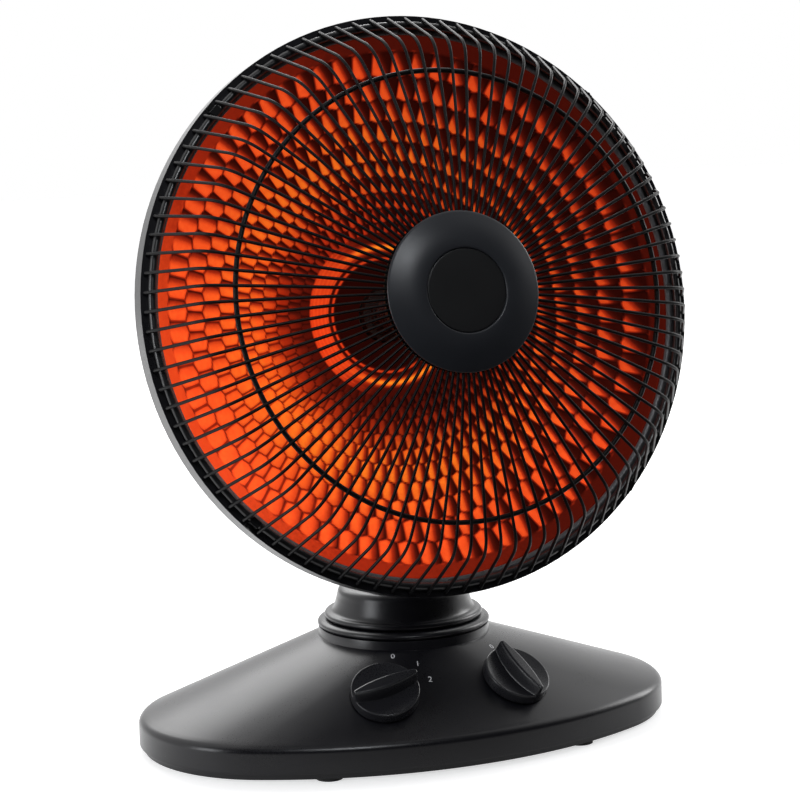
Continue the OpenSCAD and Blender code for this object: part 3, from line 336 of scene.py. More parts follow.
def painted_glow_marks(r, a):
    """Painted light on the sheet, 0 to 1, and how yellow, standing in for the hot coil's light reflected in
    the dimples. The dimples' flanks that face the lower left get a painted highlight, those that face the
    upper right painted shade, as does the crease between two."""
    s, v, lead = dimples(r, a)
    painted_light_toward = math.radians(210)
    # painted light: a painted highlight on flanks facing the lower left, painted shade on those facing the
    # upper right, and the lower left of the dish lit more overall
    facing = 2.0 * np.sin(painted_light_toward - a) * s + (0.6 * np.cos(painted_light_toward - a) - 0.5) * v * 1.6
    facing += 0.34 * np.cos(a - math.radians(205))
    side = 0.5 + 0.5 * np.cos(a - math.radians(198))
    low = 0.15 + 0.24 * side ** 2
    high = 0.72 + 0.15 * side ** 0.7
    level = low + (high - low) * smooth(-0.50, 0.42, facing)
    level *= 1 - 0.5 * smooth(-0.30, -0.75, facing)
    # painted shade in the crease between two dimples
    level *= 1 - (0.55 + 0.12 * (1 - side)) * np.exp(-(lead / 0.12) ** 2)
    # painted shade over the inner rows, less of it towards the top
    inner = smooth(96, 50, r)
    upper = smooth(-0.2, 0.8, np.cos(a - math.radians(70)))
    level *= 1 - inner * (0.70 - 0.42 * upper)
    # painted glow yellower in a ring near 98 mm, more at top and bottom, and only on the lit flanks
    warmth = np.exp(-((r - 98) / 24) ** 2) * (0.35 + 0.5 * np.abs(np.sin(a)) ** 1.5)
    warmth *= smooth(0.0, 0.5, facing + 0.2)
    # smooth band outside the dimples, its painted light brighter on the left
    band = smooth(155.2, 156.4, r)
    level = level * (1 - band) + band * (0.22 + 0.50 * side ** 2.2)
    warmth *= 1 - band
    # turned rings round the socket, with painted reflections: a broad bright patch on the left with a faint
    # ripple, a narrow bright streak at 42.5 mm elsewhere, a thin bright ring inside and a dark middle
    plain = smooth(51.8, 50.8, r)
    broad = smooth(-0.25, 0.45, np.cos(a - math.radians(180)) - 0.35)
    streak = np.exp(-((r - 42.5) / 2.4) ** 2)
    turned = 0.5 + 0.5 * np.cos(2 * np.pi * (r - 38.0) / 2.6)
    ringed = broad * (0.66 + 0.12 * turned) + (1 - broad) * (0.20 + 0.78 * streak)
    ringed = np.where(r > 38.2, ringed, 0.16)
    ringed += (r < 36.6) * (r > 34.4) * 0.50
    ringed = np.where(r < 33.6, 0.05, ringed)
    level = level * (1 - plain) + plain * ringed
    warmth = warmth * (1 - plain) + plain * (1 - broad) * streak * (r > 38)
    return np.clip(level, 0, 1), np.clip(warmth, 0, 1)


def sheet_height(r, a):
    """Front face of the reflector above the rim, mm: z = r^2/424 - 70, raised in each dimple by
    0.44 (1 - (nearness)^2 / 0.35) mm and stepped in two rings at the socket."""
    s, v, _ = dimples(r, a)
    raised = 0.44 * (1 - (s ** 2 + (SPREAD * v) ** 2) / 0.35)
    inside = smooth(156.3, 155.0, r) * smooth(50.6, 51.9, r)
    step = 0.5 * smooth(38.4, 37.9, r) - 0.5 * smooth(34.2, 33.8, r)
    return r ** 2 / 424 - 70 + raised * inside + step


def reflector_ring(name, r_in, r_out, around, steps):
    """One closed ring of the sheet: front face over a grid of angle and radius, and a plain back."""
    a = np.linspace(0, 2 * np.pi, around, endpoint=False)
    r = np.linspace(r_in, r_out, steps)
    A, R = np.meshgrid(a, r, indexing="ij")
    front = sheet_height(R, A)
    # painted light on the front face
    level, warmth = painted_glow_marks(R, A)
    back_r = np.linspace(r_out, r_in, 24)
    AB, RB = np.meshgrid(a, back_r, indexing="ij")
    back = RB ** 2 / 424 - 70.6
    both_r = np.concatenate([R, RB], 1)
    both_a = np.concatenate([A, AB], 1)
    both_z = np.concatenate([front, back], 1)
    points = on_dish(both_r * np.cos(both_a) * 1e-3, both_r * np.sin(both_a) * 1e-3, both_z * 1e-3)
    # the plain back gets a faint even painted glow
    dark = np.full(RB.shape, 0.03)
    marks = {"glow": np.concatenate([level, dark], 1), "warmth": np.concatenate([warmth, dark * 0], 1)}
    faces = grid_faces(around, steps + 24, close_u=True, close_v=True)
    return make_object(name, points, [f[::-1] for f in faces], marks=marks)


def make_reflector():
    """Dimpled sheet in two rings, and its plain flange."""
    outer = reflector_ring("reflector_outer", 105.6, 164.0, 1080, 66)
    inner = reflector_ring("reflector_inner", 17.2, 105.6, 720, 100)
    finish_piece(outer, "head", "reflector_metal", REFLECTOR_PAINTED_GLOW, "reflector")
    finish_piece(inner, "head", "reflector_metal", REFLECTOR_PAINTED_GLOW)
    flange = lathe("reflector_flange", [(0.1640, -0.0066), (0.1640, -0.0050), (0.1692, -0.0050),
                                        (0.1692, -0.0056), (0.1643, -0.0056), (0.1643, -0.0072),
                                        (0.1640, -0.0066)])
    # the flange shares the reflector's slot name but has no painted glow
    finish_piece(flange, "head", "reflector_metal", FLANGE_METAL)


make_reflector()

# ------------------------------------------------------------------ guard wires

GUARD = {"count": 96, "face": 0.690, "face_at": -0.631, "bend": 0.020, "lean": math.radians(63),
         "foot": (0.171680, 0.001521), "tail": 0.0026, "inner": 0.042, "wire": 0.001}


def wire_path():
    """Middle line of a guard wire in its own plane, as (r, z): an arc of 690 mm over the face, a
    bend of 20 mm, and a straight leg that leans 63 degrees and ends past the outer ring."""
    lean, bend, face = GUARD["lean"], GUARD["bend"], GUARD["face"]
    down = np.array([math.cos(lean), -math.sin(lean)])
    inward = np.array([-math.sin(lean), -math.cos(lean)])
    foot = np.array(GUARD["foot"])
    face_middle = np.array([0.0, GUARD["face_at"]])
    start = foot + bend * inward - face_middle
    b = -start @ down
    reach = -b + math.sqrt(b * b - start @ start + (face - bend) ** 2)
    middle = foot + bend * inward - reach * down
    top = math.atan2(*(middle - face_middle))
    arc = np.linspace(math.asin(GUARD["inner"] / face), top, 14)
    on_face = face_middle + face * np.stack([np.sin(arc), np.cos(arc)], 1)
    turn = np.linspace(top, lean, 15)[1:]
    on_bend = middle + bend * np.stack([np.sin(turn), np.cos(turn)], 1)
    leg = np.linspace(0, reach + GUARD["tail"], 7)[1:, None] * down + on_bend[-1]
    return np.concatenate([on_face, on_bend, leg])


def make_guard_wires():
    """All the wires as one piece: a round section carried along the path, 96 times round the
    axis, each end closed by two smaller rings."""
    path = wire_path()
    along = np.gradient(path, axis=0)
    along /= np.linalg.norm(along, axis=1, keepdims=True)
    across = np.stack([along[:, 1], -along[:, 0]], 1)
    swell = np.full(len(path), GUARD["wire"])
    # ends: the section shrinks to a point over the last quarter of a millimetre
    path = np.concatenate([path[:1] - along[:1] * 0.00025, path[:1] - along[:1] * 0.0002, path,
                           path[-1:] + along[-1:] * 0.0002, path[-1:] + along[-1:] * 0.00025])
    across = np.concatenate([across[:1], across[:1], across, across[-1:], across[-1:]])
    swell = np.concatenate([[0, 0.0008], swell, [0.0008, 0]])
    b = np.linspace(0, 2 * np.pi, 8, endpoint=False)
    a = np.radians(360 / GUARD["count"]) * (np.arange(GUARD["count"]) + 0.5)
    A, _, B = np.meshgrid(a, path[:, 0], b, indexing="ij")
    out = (swell[:, None] * np.cos(b))[None]
    side = (swell[:, None] * np.sin(b))[None]
    r = path[:, 0][None, :, None] + across[:, 0][None, :, None] * out
    z = path[:, 1][None, :, None] + across[:, 1][None, :, None] * out + 0 * A
    x = r * np.cos(A) - side * np.sin(A)
    y = r * np.sin(A) + side * np.cos(A)
    points = on_dish(x, y, z)
    rings = len(path)
    faces = [f for k in range(GUARD["count"])
             for f in grid_faces(rings, 8, close_v=True, start=k * rings * 8)]
    wires = make_object("guard_wires_bent", points, faces)
    finish_piece(wires, "head", "guard_paint", GUARD_PAINT, "guard_wires", "guard_legs")


make_guard_wires()

# ------------------------------------------------------------------ base

MM = 0.001
SIDE_R, TIP_R, HALF_DEPTH = 264.6, 85.0, 106.5
SIDE_C = SIDE_R - HALF_DEPTH
TIP_X = math.sqrt((SIDE_R - TIP_R) ** 2 - SIDE_C ** 2)
SIDE_SWEEP = math.atan2(TIP_X, SIDE_C)
DECK_R, DECK_Z, RIM_Z, LOW_Z = 54.0, 62.0, 22.0, 2.0
EDGE_IN, EDGE_UP = 3.4, 0.9           # where the slope starts: inside the outline, above the rim
BAND_IN, BAND_Z = 2.8, 5.6            # the set-in band at the foot of the wall, and its top
BASE_WALL = 2.6
AROUND_BASE = 288                     # points of the outline


def base_outline(angle, inset):
    """Point of the base's outline whose outward normal has this angle: long arcs of 264.6 mm in
    front and behind, round ends of 85 mm, all drawn in by the inset along the normal."""
    c, s = np.cos(angle), np.sin(angle)
    long_side = np.abs(c) < math.sin(SIDE_SWEEP)
    radius = np.where(long_side, SIDE_R, TIP_R) - inset
    x = radius * c + np.where(long_side, 0.0, np.sign(c) * TIP_X)
    y = radius * s - np.where(long_side, np.sign(s) * SIDE_C, 0.0)
    return np.stack([x, y], -1)


def base_rows(inset):
    """Rows of the base's skin from its lower edge to the deck, as (how far along from the outline
    to the deck's circle, inset, height): a low band set in by 2.8 mm, the upright wall, a rounded
    edge and the slope. With an inset, the rows of the inner skin, that much further in, apart
    from the band, where the wall is thin."""
    t = np.linspace(0.03, 1, 40)
    start = RIM_Z + EDGE_UP - inset
    slope = [(k, EDGE_IN + inset, (1 - k) * start + k * (DECK_Z - inset)) for k in t]
    if inset:
        wall = [(0, BAND_IN + 0.4, LOW_Z), (0, BAND_IN + 0.4, LOW_Z + 0.6), (0, inset + 0.6, BAND_Z),
                (0, inset + 0.3, 8.3)]
        return wall + [(0, inset, z) for z in (9.0, 14.0, RIM_Z - 6, RIM_Z - 4)] + slope[:-1]
    rows = [(0, BAND_IN + 0.2, LOW_Z), (0, BAND_IN + 0.05, LOW_Z + 0.12), (0, BAND_IN, LOW_Z + 0.5),
            (0, BAND_IN, BAND_Z - 0.4), (0, BAND_IN - 0.1, BAND_Z - 0.1), (0, 0.6, BAND_Z),
            (0, 0.2, BAND_Z + 0.1), (0, 0.0, BAND_Z + 0.5)]
    rows += [(0, 0.0, z) for z in np.linspace(6.8, RIM_Z - 4.4, 6)]
    for k in np.linspace(0, 1, 9):
        b0, b1, b2 = (1 - k) ** 2, 2 * k * (1 - k), k * k
        height = b0 * (RIM_Z - 3.6) + b1 * (RIM_Z - 1.0) + b2 * (RIM_Z + EDGE_UP)
        rows.append((0, b1 * 0.2 + b2 * EDGE_IN, height))
    return rows + slope


def make_base():
    """Low oval base: every row is a blend between the outline and the deck's circle, point by
    point of equal outward normal, so the slope is a smooth ruled skin; a raised round on the deck,
    a hole for the swivel bush, and an inner skin 2.6 mm below."""
    angle = np.linspace(0, 2 * np.pi, AROUND_BASE, endpoint=False)
    unit = np.stack([np.cos(angle), np.sin(angle)], -1)
    loops = []
    for t, inset, z in base_rows(0):
        loops.append((base_outline(angle, inset) * (1 - t) + DECK_R * unit * t, z))
    for r, z in [(53.6, 62.02), (53.34, 62.15), (53.3, 62.5), (53.3, 67.1), (53.2, 67.4), (52.9, 67.6),
                 (40, 67.6), (21.0, 67.6), (20.15, 67.6), (20.15, 59.2), (21.0, 59.0), (51.3, 59.0)]:
        loops.append((r * unit, z))
    for t, inset, z in base_rows(BASE_WALL)[::-1]:
        loops.append((base_outline(angle, inset) * (1 - t) + (DECK_R - BASE_WALL) * unit * t, z))
    points = np.stack([np.concatenate([xy + [0, AXIS_Y / MM], np.full((AROUND_BASE, 1), z)], 1)
                       for xy, z in loops])
    faces = grid_faces(len(loops), AROUND_BASE, close_u=True, close_v=True)
    base = make_object("base_skin", points * MM, faces)
    face_outwards(base)
    for side in (-1, 1):
        cut_hole(base, dial_place(side), 21.2, -0.6, 30)
        cut_hole(base, dial_place(side), 5.2, -30, 5)
    inlet = Matrix.Translation((0, 0.086500 + AXIS_Y, 0.013)) @ Matrix.Rotation(math.radians(-90), 4, "X")
    cut_hole(base, inlet, 7.05, 0, 40)
    finish_piece(base, "base", "black_plastic", BLACK_PLASTIC, "base_shell", sharp=32)


def cut_away(piece, cutter):
    """Subtracts a closed cutter from a piece and removes the cutter."""
    change = piece.modifiers.new("hole", "BOOLEAN")
    change.operation = "DIFFERENCE"
    change.object = cutter
    change.solver = "EXACT"
    with bpy.context.temp_override(object=piece, active_object=piece):
        bpy.ops.object.modifier_apply(modifier=change.name)
    mesh = cutter.data
    bpy.data.objects.remove(cutter)
    bpy.data.meshes.remove(mesh)


def cut_hole(piece, place, radius, low, high):
    """Takes a round hole out of a piece: a cylinder of the radius, from low to high (mm) on the
    place's own z axis, is subtracted from it."""
    a = np.linspace(0, 2 * np.pi, 96, endpoint=False)
    profile = np.array([[0.0, low], [radius, low], [radius, high], [0.0, high]]) * MM
    ring = np.stack([np.cos(a), np.sin(a)], -1)
    points = np.concatenate([profile[None, :, :1] * ring[:, None, :],
                             np.broadcast_to(profile[None, :, 1:], (96, 4, 1))], -1)
    cutter = make_object("cutter", points, grid_faces(96, 4, close_u=True))
    cutter.data.transform(place)
    cut_away(piece, cutter)


make_base()

# ------------------------------------------------------------------ dials

DIAL_R = 20.5
DIAL_COLUMNS = 121


def dial_height(x, off, half, wall):
    """Upper face of a dial, mm above the slope: x along the blade, off the distance from its middle
    line. The blade's top is flat at 14.5 with a narrow chamfer; its walls fall steeply to a skirt
    dished as 5.3 + 2.2 (r/R)^2; the rim is rounded by 0.9 mm."""
    r = np.hypot(x, off)
    skirt = 5.3 + 2.2 * (r / DIAL_R) ** 2
    top = 14.5 - 0.5 * smooth(-0.9, 0.0, off - half)
    fall = smooth(-0.05, 1.0, (off - half) / wall)
    into = np.clip((r - DIAL_R + 0.9) / 0.9, 0, 1)
    return top + (skirt - top) * fall - 0.9 * (1 - np.sqrt(np.clip(1 - into ** 2, 0, 1)))


def make_dial(name, side, degrees, body, node):
    """A dial: columns x = -R cos t along the blade, each with points that crowd at the blade's
    edges; half the blade is 1.2 + 2.7 sin^2 t mm wide. Round the outline an upright edge goes down
    to a flat underside 0.8 mm above the slope, hollow over the bush."""
    t = np.linspace(0, np.pi, DIAL_COLUMNS)[:, None]
    reach = DIAL_R * np.sin(t)
    half = np.minimum(1.2 + 2.7 * np.sin(t) ** 2, 0.72 * reach)
    wall = np.minimum(1.5, 0.4 * (reach - half)) + 1e-6
    on_top = np.concatenate([np.linspace(0, 0.75, 6), [0.84, 0.92, 0.97, 1.0]])
    down = np.array([0.06, 0.14, 0.24, 0.36, 0.5, 0.64, 0.78, 0.9, 1.0])
    across = np.array([0.04, 0.1, 0.2, 0.32, 0.45, 0.58, 0.7, 0.8, 0.88, 0.93, 0.96, 0.98, 0.992, 1.0])
    parts = [half * on_top, half + wall * down, half + wall + (reach - half - wall) * across]
    off = np.concatenate([np.broadcast_to(part, (DIAL_COLUMNS, part.shape[1])) for part in parts], 1)
    x = np.broadcast_to(-DIAL_R * np.cos(t), off.shape)
    z = dial_height(x, off, half, wall)
    sheet = np.stack([x, off, z], -1)
    mirror = sheet[:, :0:-1] * [1, -1, 1]
    sheet = np.concatenate([mirror, sheet], 1)
    lines = sheet.shape[1]
    loop = np.concatenate([sheet[:, -1], sheet[-2:0:-1, 0]])
    grow = np.array([1.0, 1.0, 0.99, 0.93, 9.0 / DIAL_R, 9.0 / DIAL_R, 0.0])
    level = np.array([4.0, 1.0, 0.8, 0.8, 0.8, 4.4, 4.4])
    below = np.concatenate([loop[:, None, :2] * grow[None, :, None],
                            np.broadcast_to(level[None, :, None], (len(loop), 7, 1))], -1)
    below = np.concatenate([loop[:, None, :], below], 1)
    faces = grid_faces(DIAL_COLUMNS, lines)
    faces += grid_faces(len(loop), 8, close_u=True, start=DIAL_COLUMNS * lines)
    points = np.concatenate([sheet.reshape(-1, 3), below.reshape(-1, 3)]) * MM
    dial = make_object(name, points, faces)
    face_outwards(dial)
    dial.data.transform(dial_place(side) @ Matrix.Rotation(math.radians(degrees), 4, "Z"))
    finish_piece(dial, body, "satin_plastic", KNOB_PLASTIC, node, sharp=34)


make_dial("heat_dial_knob", -1, 21, "heat_dial", "heat_knob")
make_dial("swing_dial_knob", 1, 94, "swing_dial", "swing_knob")


def slope_height(x, y):
    """Height of the front slope, mm, at a point seen from above. With s the share of the outline:
    s^2 (c^2 - k^2) - 2 s (y c + r k) + x^2 + y^2 - r^2 = 0, where c is the middle of the long arc,
    r the deck's radius and k what the long arc's radius has over it."""
    k = SIDE_R - EDGE_IN - DECK_R
    a = SIDE_C ** 2 - k ** 2
    b = -2 * (y * SIDE_C + DECK_R * k)
    c = x * x + y * y - DECK_R ** 2
    share = (-b - np.sqrt(b * b - 4 * a * c)) / (2 * a)
    return DECK_Z + share * (RIM_Z + EDGE_UP - DECK_Z)


def make_number(name, text, side, degrees, distance, size):
    """A printed number beside a dial: its outline is laid on the slope, 0.05 mm proud."""
    curve = bpy.data.curves.new(name, "FONT")
    curve.body = text
    curve.size = size
    curve.align_x = "CENTER"
    curve.align_y = "CENTER"
    curve.resolution_u = 6
    words = bpy.data.objects.new(name, curve)
    bpy.context.scene.collection.objects.link(words)
    bpy.context.view_layer.update()
    flat = bpy.data.meshes.new_from_object(words.evaluated_get(bpy.context.evaluated_depsgraph_get()))
    bpy.data.objects.remove(words)
    bpy.data.curves.remove(curve)
    at = Vector((math.cos(math.radians(degrees)), math.sin(math.radians(degrees)), 0)) * distance * MM
    flat.transform(dial_place(side) @ Matrix.Translation(at) @ Matrix.Scale(MM, 4))
    points = np.empty(len(flat.vertices) * 3)
    flat.vertices.foreach_get("co", points)
    points = points.reshape(-1, 3)
    x, y = points[:, 0] / MM, (points[:, 1] - AXIS_Y) / MM
    points[:, 2] = (slope_height(x, y) + 0.06) * MM
    flat.vertices.foreach_set("co", points.ravel())
    flat.name = name
    number = bpy.data.objects.new(name, flat)
    bpy.context.scene.collection.objects.link(number)
    thick = number.modifiers.new("ink", "SOLIDIFY")
    thick.thickness = 0.00012
    thick.offset = -1
    finish_piece(number, "base", "grey_plastic", PRINT)


make_number("heat_mark_0", "0", -1, 76, 31.8, 5.4)
make_number("heat_mark_1", "1", -1, 47, 32.4, 5.4)
make_number("heat_mark_2", "2", -1, 24, 31.1, 5.4)
make_number("swing_mark_0", "0", 1, 84, 29.3, 5.4)
make_number("swing_mark_1", "1", 1, 52, 29.3, 5.4)

# ------------------------------------------------------------------ neck, collar and cap


def on_axis(x, y, z):
    """Points round the swivel axis, moved to the room."""
    return np.stack(np.broadcast_arrays(x, y + AXIS_Y, z), -1)


def half_round(r, z, out, tall, steps=13):
    """Bead of a profile: r + out cos t, z + tall sin t, from below to above."""
    t = np.linspace(-1.25, 1.25, steps)
    return np.stack([r + out * np.cos(t), z + tall * np.sin(t)], 1)


def make_collar():
    """Fixed collar: a full round bead over the raised round of the deck."""
    profile = np.concatenate([[[44.5, 67.62], [51.4, 67.62], [51.9, 67.7]],
                              half_round(51.2, 69.75, 2.55, 2.05, 17),
                              [[51.2, 71.95], [50.6, 72.18], [44.5, 72.18], [44.5, 67.62]]]) * MM
    collar = lathe("collar_bead", profile, 192, on_axis)
    finish_piece(collar, "base", "black_plastic", BLACK_PLASTIC, "collar_ring", sharp=40)


def make_neck():
    """Neck: a bead, a drum that flares at its foot and rounds over at its shoulder, hollow over the
    spindle, with the well for the stalk cut out from 20 mm in front of the axis to the back."""
    bend = np.linspace(0, np.pi / 2, 9)
    profile = np.concatenate([[[10.0, 74.8], [24.1, 74.8], [24.1, 72.52], [47.6, 72.52]],
                              half_round(47.35, 74.6, 1.9, 1.95, 15),
                              [[47.2, 76.5], [46.3, 76.68], [45.2, 76.85], [44.5, 77.25], [43.9, 78.2],
                               [43.3, 79.5], [42.7, 81.2], [42.1, 83.2], [41.6, 85.3]],
                              np.stack([36.0 + 5 * np.cos(bend), 87.45 + 5 * np.sin(bend)], 1),
                              [[10.0, 92.45], [10.0, 74.8]]]) * MM
    neck = lathe("neck_drum", profile, 256, on_axis)
    x, y0, y1, z0, z1 = 26.5, -20.0, 60.0, 76.7, 100.0
    corners = [(i, j, k) for i in (-x, x) for j in (y0, y1) for k in (z0, z1)]
    sides = [[0, 1, 3, 2], [4, 6, 7, 5], [0, 4, 5, 1], [2, 3, 7, 6], [0, 2, 6, 4], [1, 5, 7, 3]]
    well = make_object("cutter", (np.array(corners) + [0, AXIS_Y / MM, 0]) * MM, sides, smooth=False)
    cut_away(neck, well)
    finish_piece(neck, "neck", "black_plastic", BLACK_PLASTIC, "neck_shell", sharp=40)


make_collar()
make_neck()


def make_cap():
    """Cap: a lip, a dome z = edge + 1.6 + 5 sin(90 t), a rounded shoulder round the sunk disc, and
    a hollow underside; and the disc, bevelled at its edge, bare."""
    t = np.linspace(0, 1, 26)
    dome = np.stack([46.75 - (46.75 - 25.9) * t, 60.0 + 5.15 * np.sin(np.radians(90 * t))], 1)
    top = dome[-1, 1]
    profile = np.concatenate([
        [[5.0, 44.4], [5.0, 61.9], [25.4, 61.9], [43.4, 61.2], [45.4, 59.6], [45.4, 58.75], [45.6, 58.6],
         [46.8, 58.6]],
        [[47.1, 58.75], [47.2, 59.1], [47.1, 59.6]], dome,
        [[25.4, top - 0.02], [25.05, top - 0.12], [24.8, top - 0.35], [24.65, top - 0.75], [24.6, top - 1.35],
         [1.3, top - 1.35], [1.3, 44.4], [5.0, 44.4]]]) * MM
    cap = lathe("cap_shell", profile, 192)
    finish_piece(cap, "head", "satin_plastic", SATIN_PLASTIC, "cap", sharp=42)
    edge = [[0, -1.3], [24.3, -1.3], [24.3, -0.85], [24.2, -0.66], [23.9, -0.56], [23.4, -0.52], [12, -0.5],
            [0, -0.5]]
    disc = lathe("cap_plain_disc", (np.array(edge) + [0, top]) * MM)
    finish_piece(disc, "head", "disc_plastic", DISC_PLASTIC, "cap_disc", sharp=42)


make_cap()


def make_coil():
    """Heating coil: a round wire carried along a helix of 9.7 mm, 16 turns of 4.5 mm rise."""
    turns, per_turn, sides = 16, 36, 8
    a = np.linspace(0, 2 * np.pi * turns, turns * per_turn + 1)
    b = np.linspace(0, 2 * np.pi, sides, endpoint=False)
    wire = np.full(len(a), 0.9)
    wire[[0, -1]] = 0.0
    A, B = np.meshgrid(a, b, indexing="ij")
    r = 9.7 + wire[:, None] * np.cos(B)
    z = -58 + 4.5 * A / (2 * np.pi) + wire[:, None] * np.sin(B)
    points = on_dish(r * np.cos(A) * MM, r * np.sin(A) * MM, z * MM)
    hot = smooth(-42, -34, -58 + 4.5 * A / (2 * np.pi))          # the turns at the foot stay dark
    coil = make_object("hot_coil", points, grid_faces(len(a), sides, close_v=True), marks={"hot": hot})
    finish_piece(coil, "head", "glowing_wire", HOT_WIRE, "element_coil")


make_coil()

# ------------------------------------------------------------------ finishes of the CAD nodes

NODE_FINISH = {
    "base_shell": BLACK_PLASTIC, "bottom_plate": ZINC, "base_screws": ZINC, "rubber_feet": RUBBER,
    "collar_ring": BLACK_PLASTIC, "swivel_bush": GREY_PLASTIC, "glide_washer": GREY_PLASTIC,
    "heat_switch": GREY_PLASTIC, "swing_switch": GREY_PLASTIC, "switch_nuts": ZINC, "motor": ZINC,
    "motor_screws": ZINC, "tip_switch": GREY_PLASTIC, "terminal_block": GREY_PLASTIC,
    "cord_inlet": RUBBER, "heat_knob": KNOB_PLASTIC, "heat_shaft": BRASS, "swing_knob": KNOB_PLASTIC,
    "swing_shaft": BRASS, "tip_plunger": BLACK_PLASTIC, "crank": ZINC, "neck_shell": BLACK_PLASTIC,
    "spindle": ZINC, "spindle_screws": ZINC, "spindle_nut": BRASS, "swivel_arm": ZINC,
    "friction_washers": ZINC, "tilt_bolt": ZINC, "tilt_nut": ZINC, "stalk": BLACK_PLASTIC,
    "stalk_screws": ZINC, "rear_housing": BLACK_PLASTIC, "rear_cover": SATIN_PLASTIC,
    "cover_screws": ZINC, "reflector_screws": ZINC, "thermal_cutout": ZINC,
    "element_socket": DARK_CERAMIC, "socket_clip": DARK_STEEL, "element_core": DARK_CERAMIC,
    "element_coil": DARK_STEEL, "guard_ring": RIM_PAINT, "support_ring": GUARD_PAINT,
    "inner_ring": GUARD_PAINT, "guard_wires": GUARD_PAINT, "guard_legs": GUARD_PAINT,
    "guard_clips": GUARD_PAINT,
    "clip_screws": GUARD_PAINT, "cap": SATIN_PLASTIC, "cap_disc": DISC_PLASTIC,
    "cap_plate": PAN_STEEL, "cap_screw": ZINC,
}
for name, material in NODE_FINISH.items():
    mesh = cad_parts[name].data
    mesh.materials.clear()
    mesh.materials.append(material)

# ------------------------------------------------------------------ floor, light and view

FLOOR_LIFT = 0.55                     # glow that lifts the floor to white for the camera
FLOOR_SIDE = 6.0


def floor_finish():
    """Pale matt floor; seen straight from the camera it is lifted to white, shadows and all. In
    gloss it is pale behind the heater and dark in front, where a studio's table would end."""
    material, shader, node, links = new_finish("floor")
    where = node("ShaderNodeTexCoord").outputs["Object"]
    mottle = node("ShaderNodeTexNoise", Vector=where, Scale=9.0, Detail=4.0)
    tone = node("ShaderNodeMapRange", Value=mottle.outputs["Fac"])
    tone.inputs["To Min"].default_value = 0.80
    tone.inputs["To Max"].default_value = 0.83
    depth = node("ShaderNodeSeparateXYZ", Vector=where)
    behind = node("ShaderNodeMapRange", {"interpolation_type": "SMOOTHSTEP"}, Value=depth.outputs["Y"])
    behind.inputs["From Min"].default_value = -0.32
    behind.inputs["From Max"].default_value = 0.10
    path = node("ShaderNodeLightPath")
    pale = node("ShaderNodeMath", {"operation": "MAXIMUM"})
    links.new(path.outputs["Is Camera Ray"], pale.inputs[0])
    links.new(behind.outputs["Result"], pale.inputs[1])
    colour = node("ShaderNodeMath", {"operation": "MULTIPLY"})
    links.new(pale.outputs["Value"], colour.inputs[0])
    links.new(tone.outputs["Result"], colour.inputs[1])
    links.new(colour.outputs["Value"], shader.inputs["Base Color"])
    shader.inputs["Roughness"].default_value = 0.95
    shader.inputs["Specular IOR Level"].default_value = 0.0
    shader.inputs["Emission Color"].default_value = (1, 1, 1, 1)
    shine = node("ShaderNodeMath", {"operation": "MULTIPLY"})
    links.new(path.outputs["Is Glossy Ray"], shine.inputs[0])
    links.new(behind.outputs["Result"], shine.inputs[1])
    both = node("ShaderNodeMath", {"operation": "MAXIMUM"})
    links.new(path.outputs["Is Camera Ray"], both.inputs[0])
    links.new(shine.outputs["Value"], both.inputs[1])
    lift = node("ShaderNodeMath", {"operation": "MULTIPLY"})
    links.new(both.outputs["Value"], lift.inputs[0])
    lift.inputs[1].default_value = FLOOR_LIFT
    links.new(lift.outputs["Value"], shader.inputs["Emission Strength"])
    return material


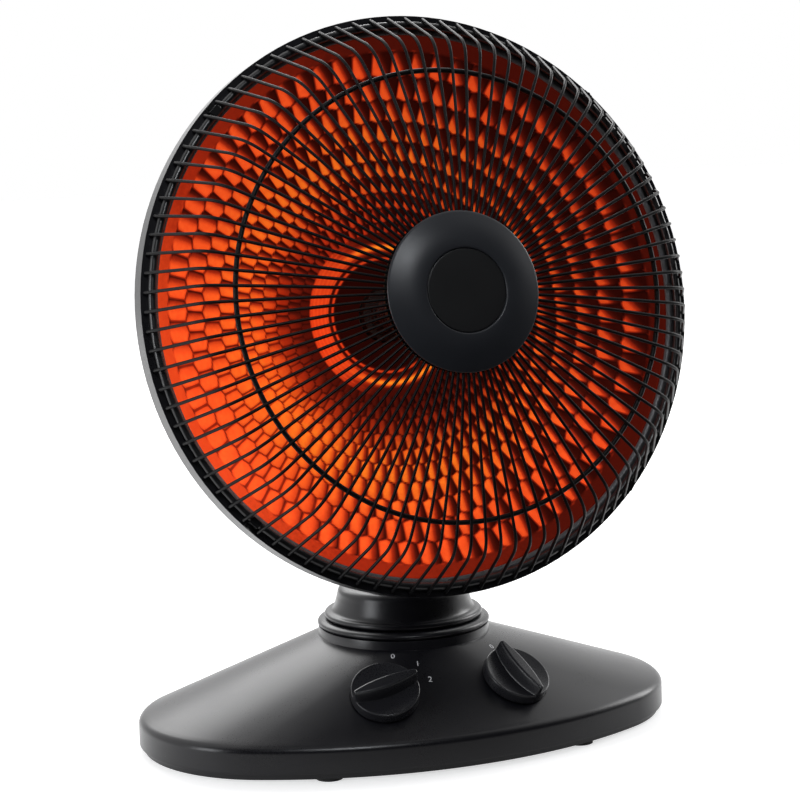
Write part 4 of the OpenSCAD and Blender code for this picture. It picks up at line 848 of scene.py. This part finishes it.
def set_world():
    """White backdrop for the camera. For light and gloss it fades from white behind and above to
    dark in front and low down, as in a studio with black flags beside the camera."""
    world = bpy.data.worlds.new("world")
    world.use_nodes = True
    bpy.context.scene.world = world
    nodes, links = world.node_tree.nodes, world.node_tree.links
    back = nodes["Background"]
    way = nodes.new("ShaderNodeTexCoord")
    lean = nodes.new("ShaderNodeVectorMath")
    lean.operation = "DOT_PRODUCT"
    lean.inputs[1].default_value = (0.12, 0.80, 0.25)
    links.new(way.outputs["Generated"], lean.inputs[0])
    fade = nodes.new("ShaderNodeMapRange")
    fade.interpolation_type = "SMOOTHSTEP"
    fade.inputs["From Min"].default_value = -0.25
    fade.inputs["From Max"].default_value = 0.35
    fade.inputs["To Min"].default_value = 0.02
    fade.inputs["To Max"].default_value = 1.0
    links.new(lean.outputs["Value"], fade.inputs["Value"])
    path = nodes.new("ShaderNodeLightPath")
    seen = nodes.new("ShaderNodeMath")
    seen.operation = "MAXIMUM"
    links.new(path.outputs["Is Camera Ray"], seen.inputs[0])
    links.new(path.outputs["Is Transmission Ray"], seen.inputs[1])
    level = nodes.new("ShaderNodeMath")
    level.operation = "MAXIMUM"
    links.new(seen.outputs["Value"], level.inputs[0])
    links.new(fade.outputs["Result"], level.inputs[1])
    links.new(level.outputs["Value"], back.inputs["Strength"])
    back.inputs["Color"].default_value = (1, 1, 1, 1)


def set_lamp(name, at, aim, size, power, tint=(1, 1, 1)):
    """Soft box: a rectangular lamp that faces the point it is aimed at."""
    data = bpy.data.lights.new(name, "AREA")
    data.shape = "RECTANGLE"
    data.size, data.size_y = size
    data.energy = power
    data.color = tint
    lamp = bpy.data.objects.new(name, data)
    turn = (Vector(at) - Vector(aim)).to_track_quat("Z", "Y").to_matrix().to_4x4()
    lamp.matrix_world = Matrix.Translation(at) @ turn
    bpy.context.scene.collection.objects.link(lamp)


def set_stage():
    """Floor, world and soft boxes: a broad one behind and above, small ones overhead, in front of
    the cap, and far to the left and right."""
    side = FLOOR_SIDE
    floor = make_object("floor", [(-side, -side, 0), (side, -side, 0), (side, side, 0), (-side, side, 0)],
                        [[0, 1, 2, 3]])
    floor.data.materials.append(floor_finish())
    set_world()
    set_lamp("behind", (0.10, 1.80, 1.35), (0, 0, 0.05), (2.0, 1.1), 20)
    set_lamp("overhead", (0.34, 0.95, 1.45), (0, 0, 0.05), (0.5, 0.4), 5)
    set_lamp("left", (-1.67, -0.31, 0.45), (0, 0, 0.12), (0.5, 0.9), 8, (0.95, 0.97, 1.0))
    set_lamp("right", (1.8, 0.3, 0.9), (0, 0, 0.1), (0.8, 0.8), 12)
    set_lamp("front", (-0.35, -1.60, 1.50), (0, 0, 0.27), (0.4, 0.4), 9, (0.93, 0.96, 1.0))


set_stage()
bpy.context.scene.view_settings.view_transform = "Standard"
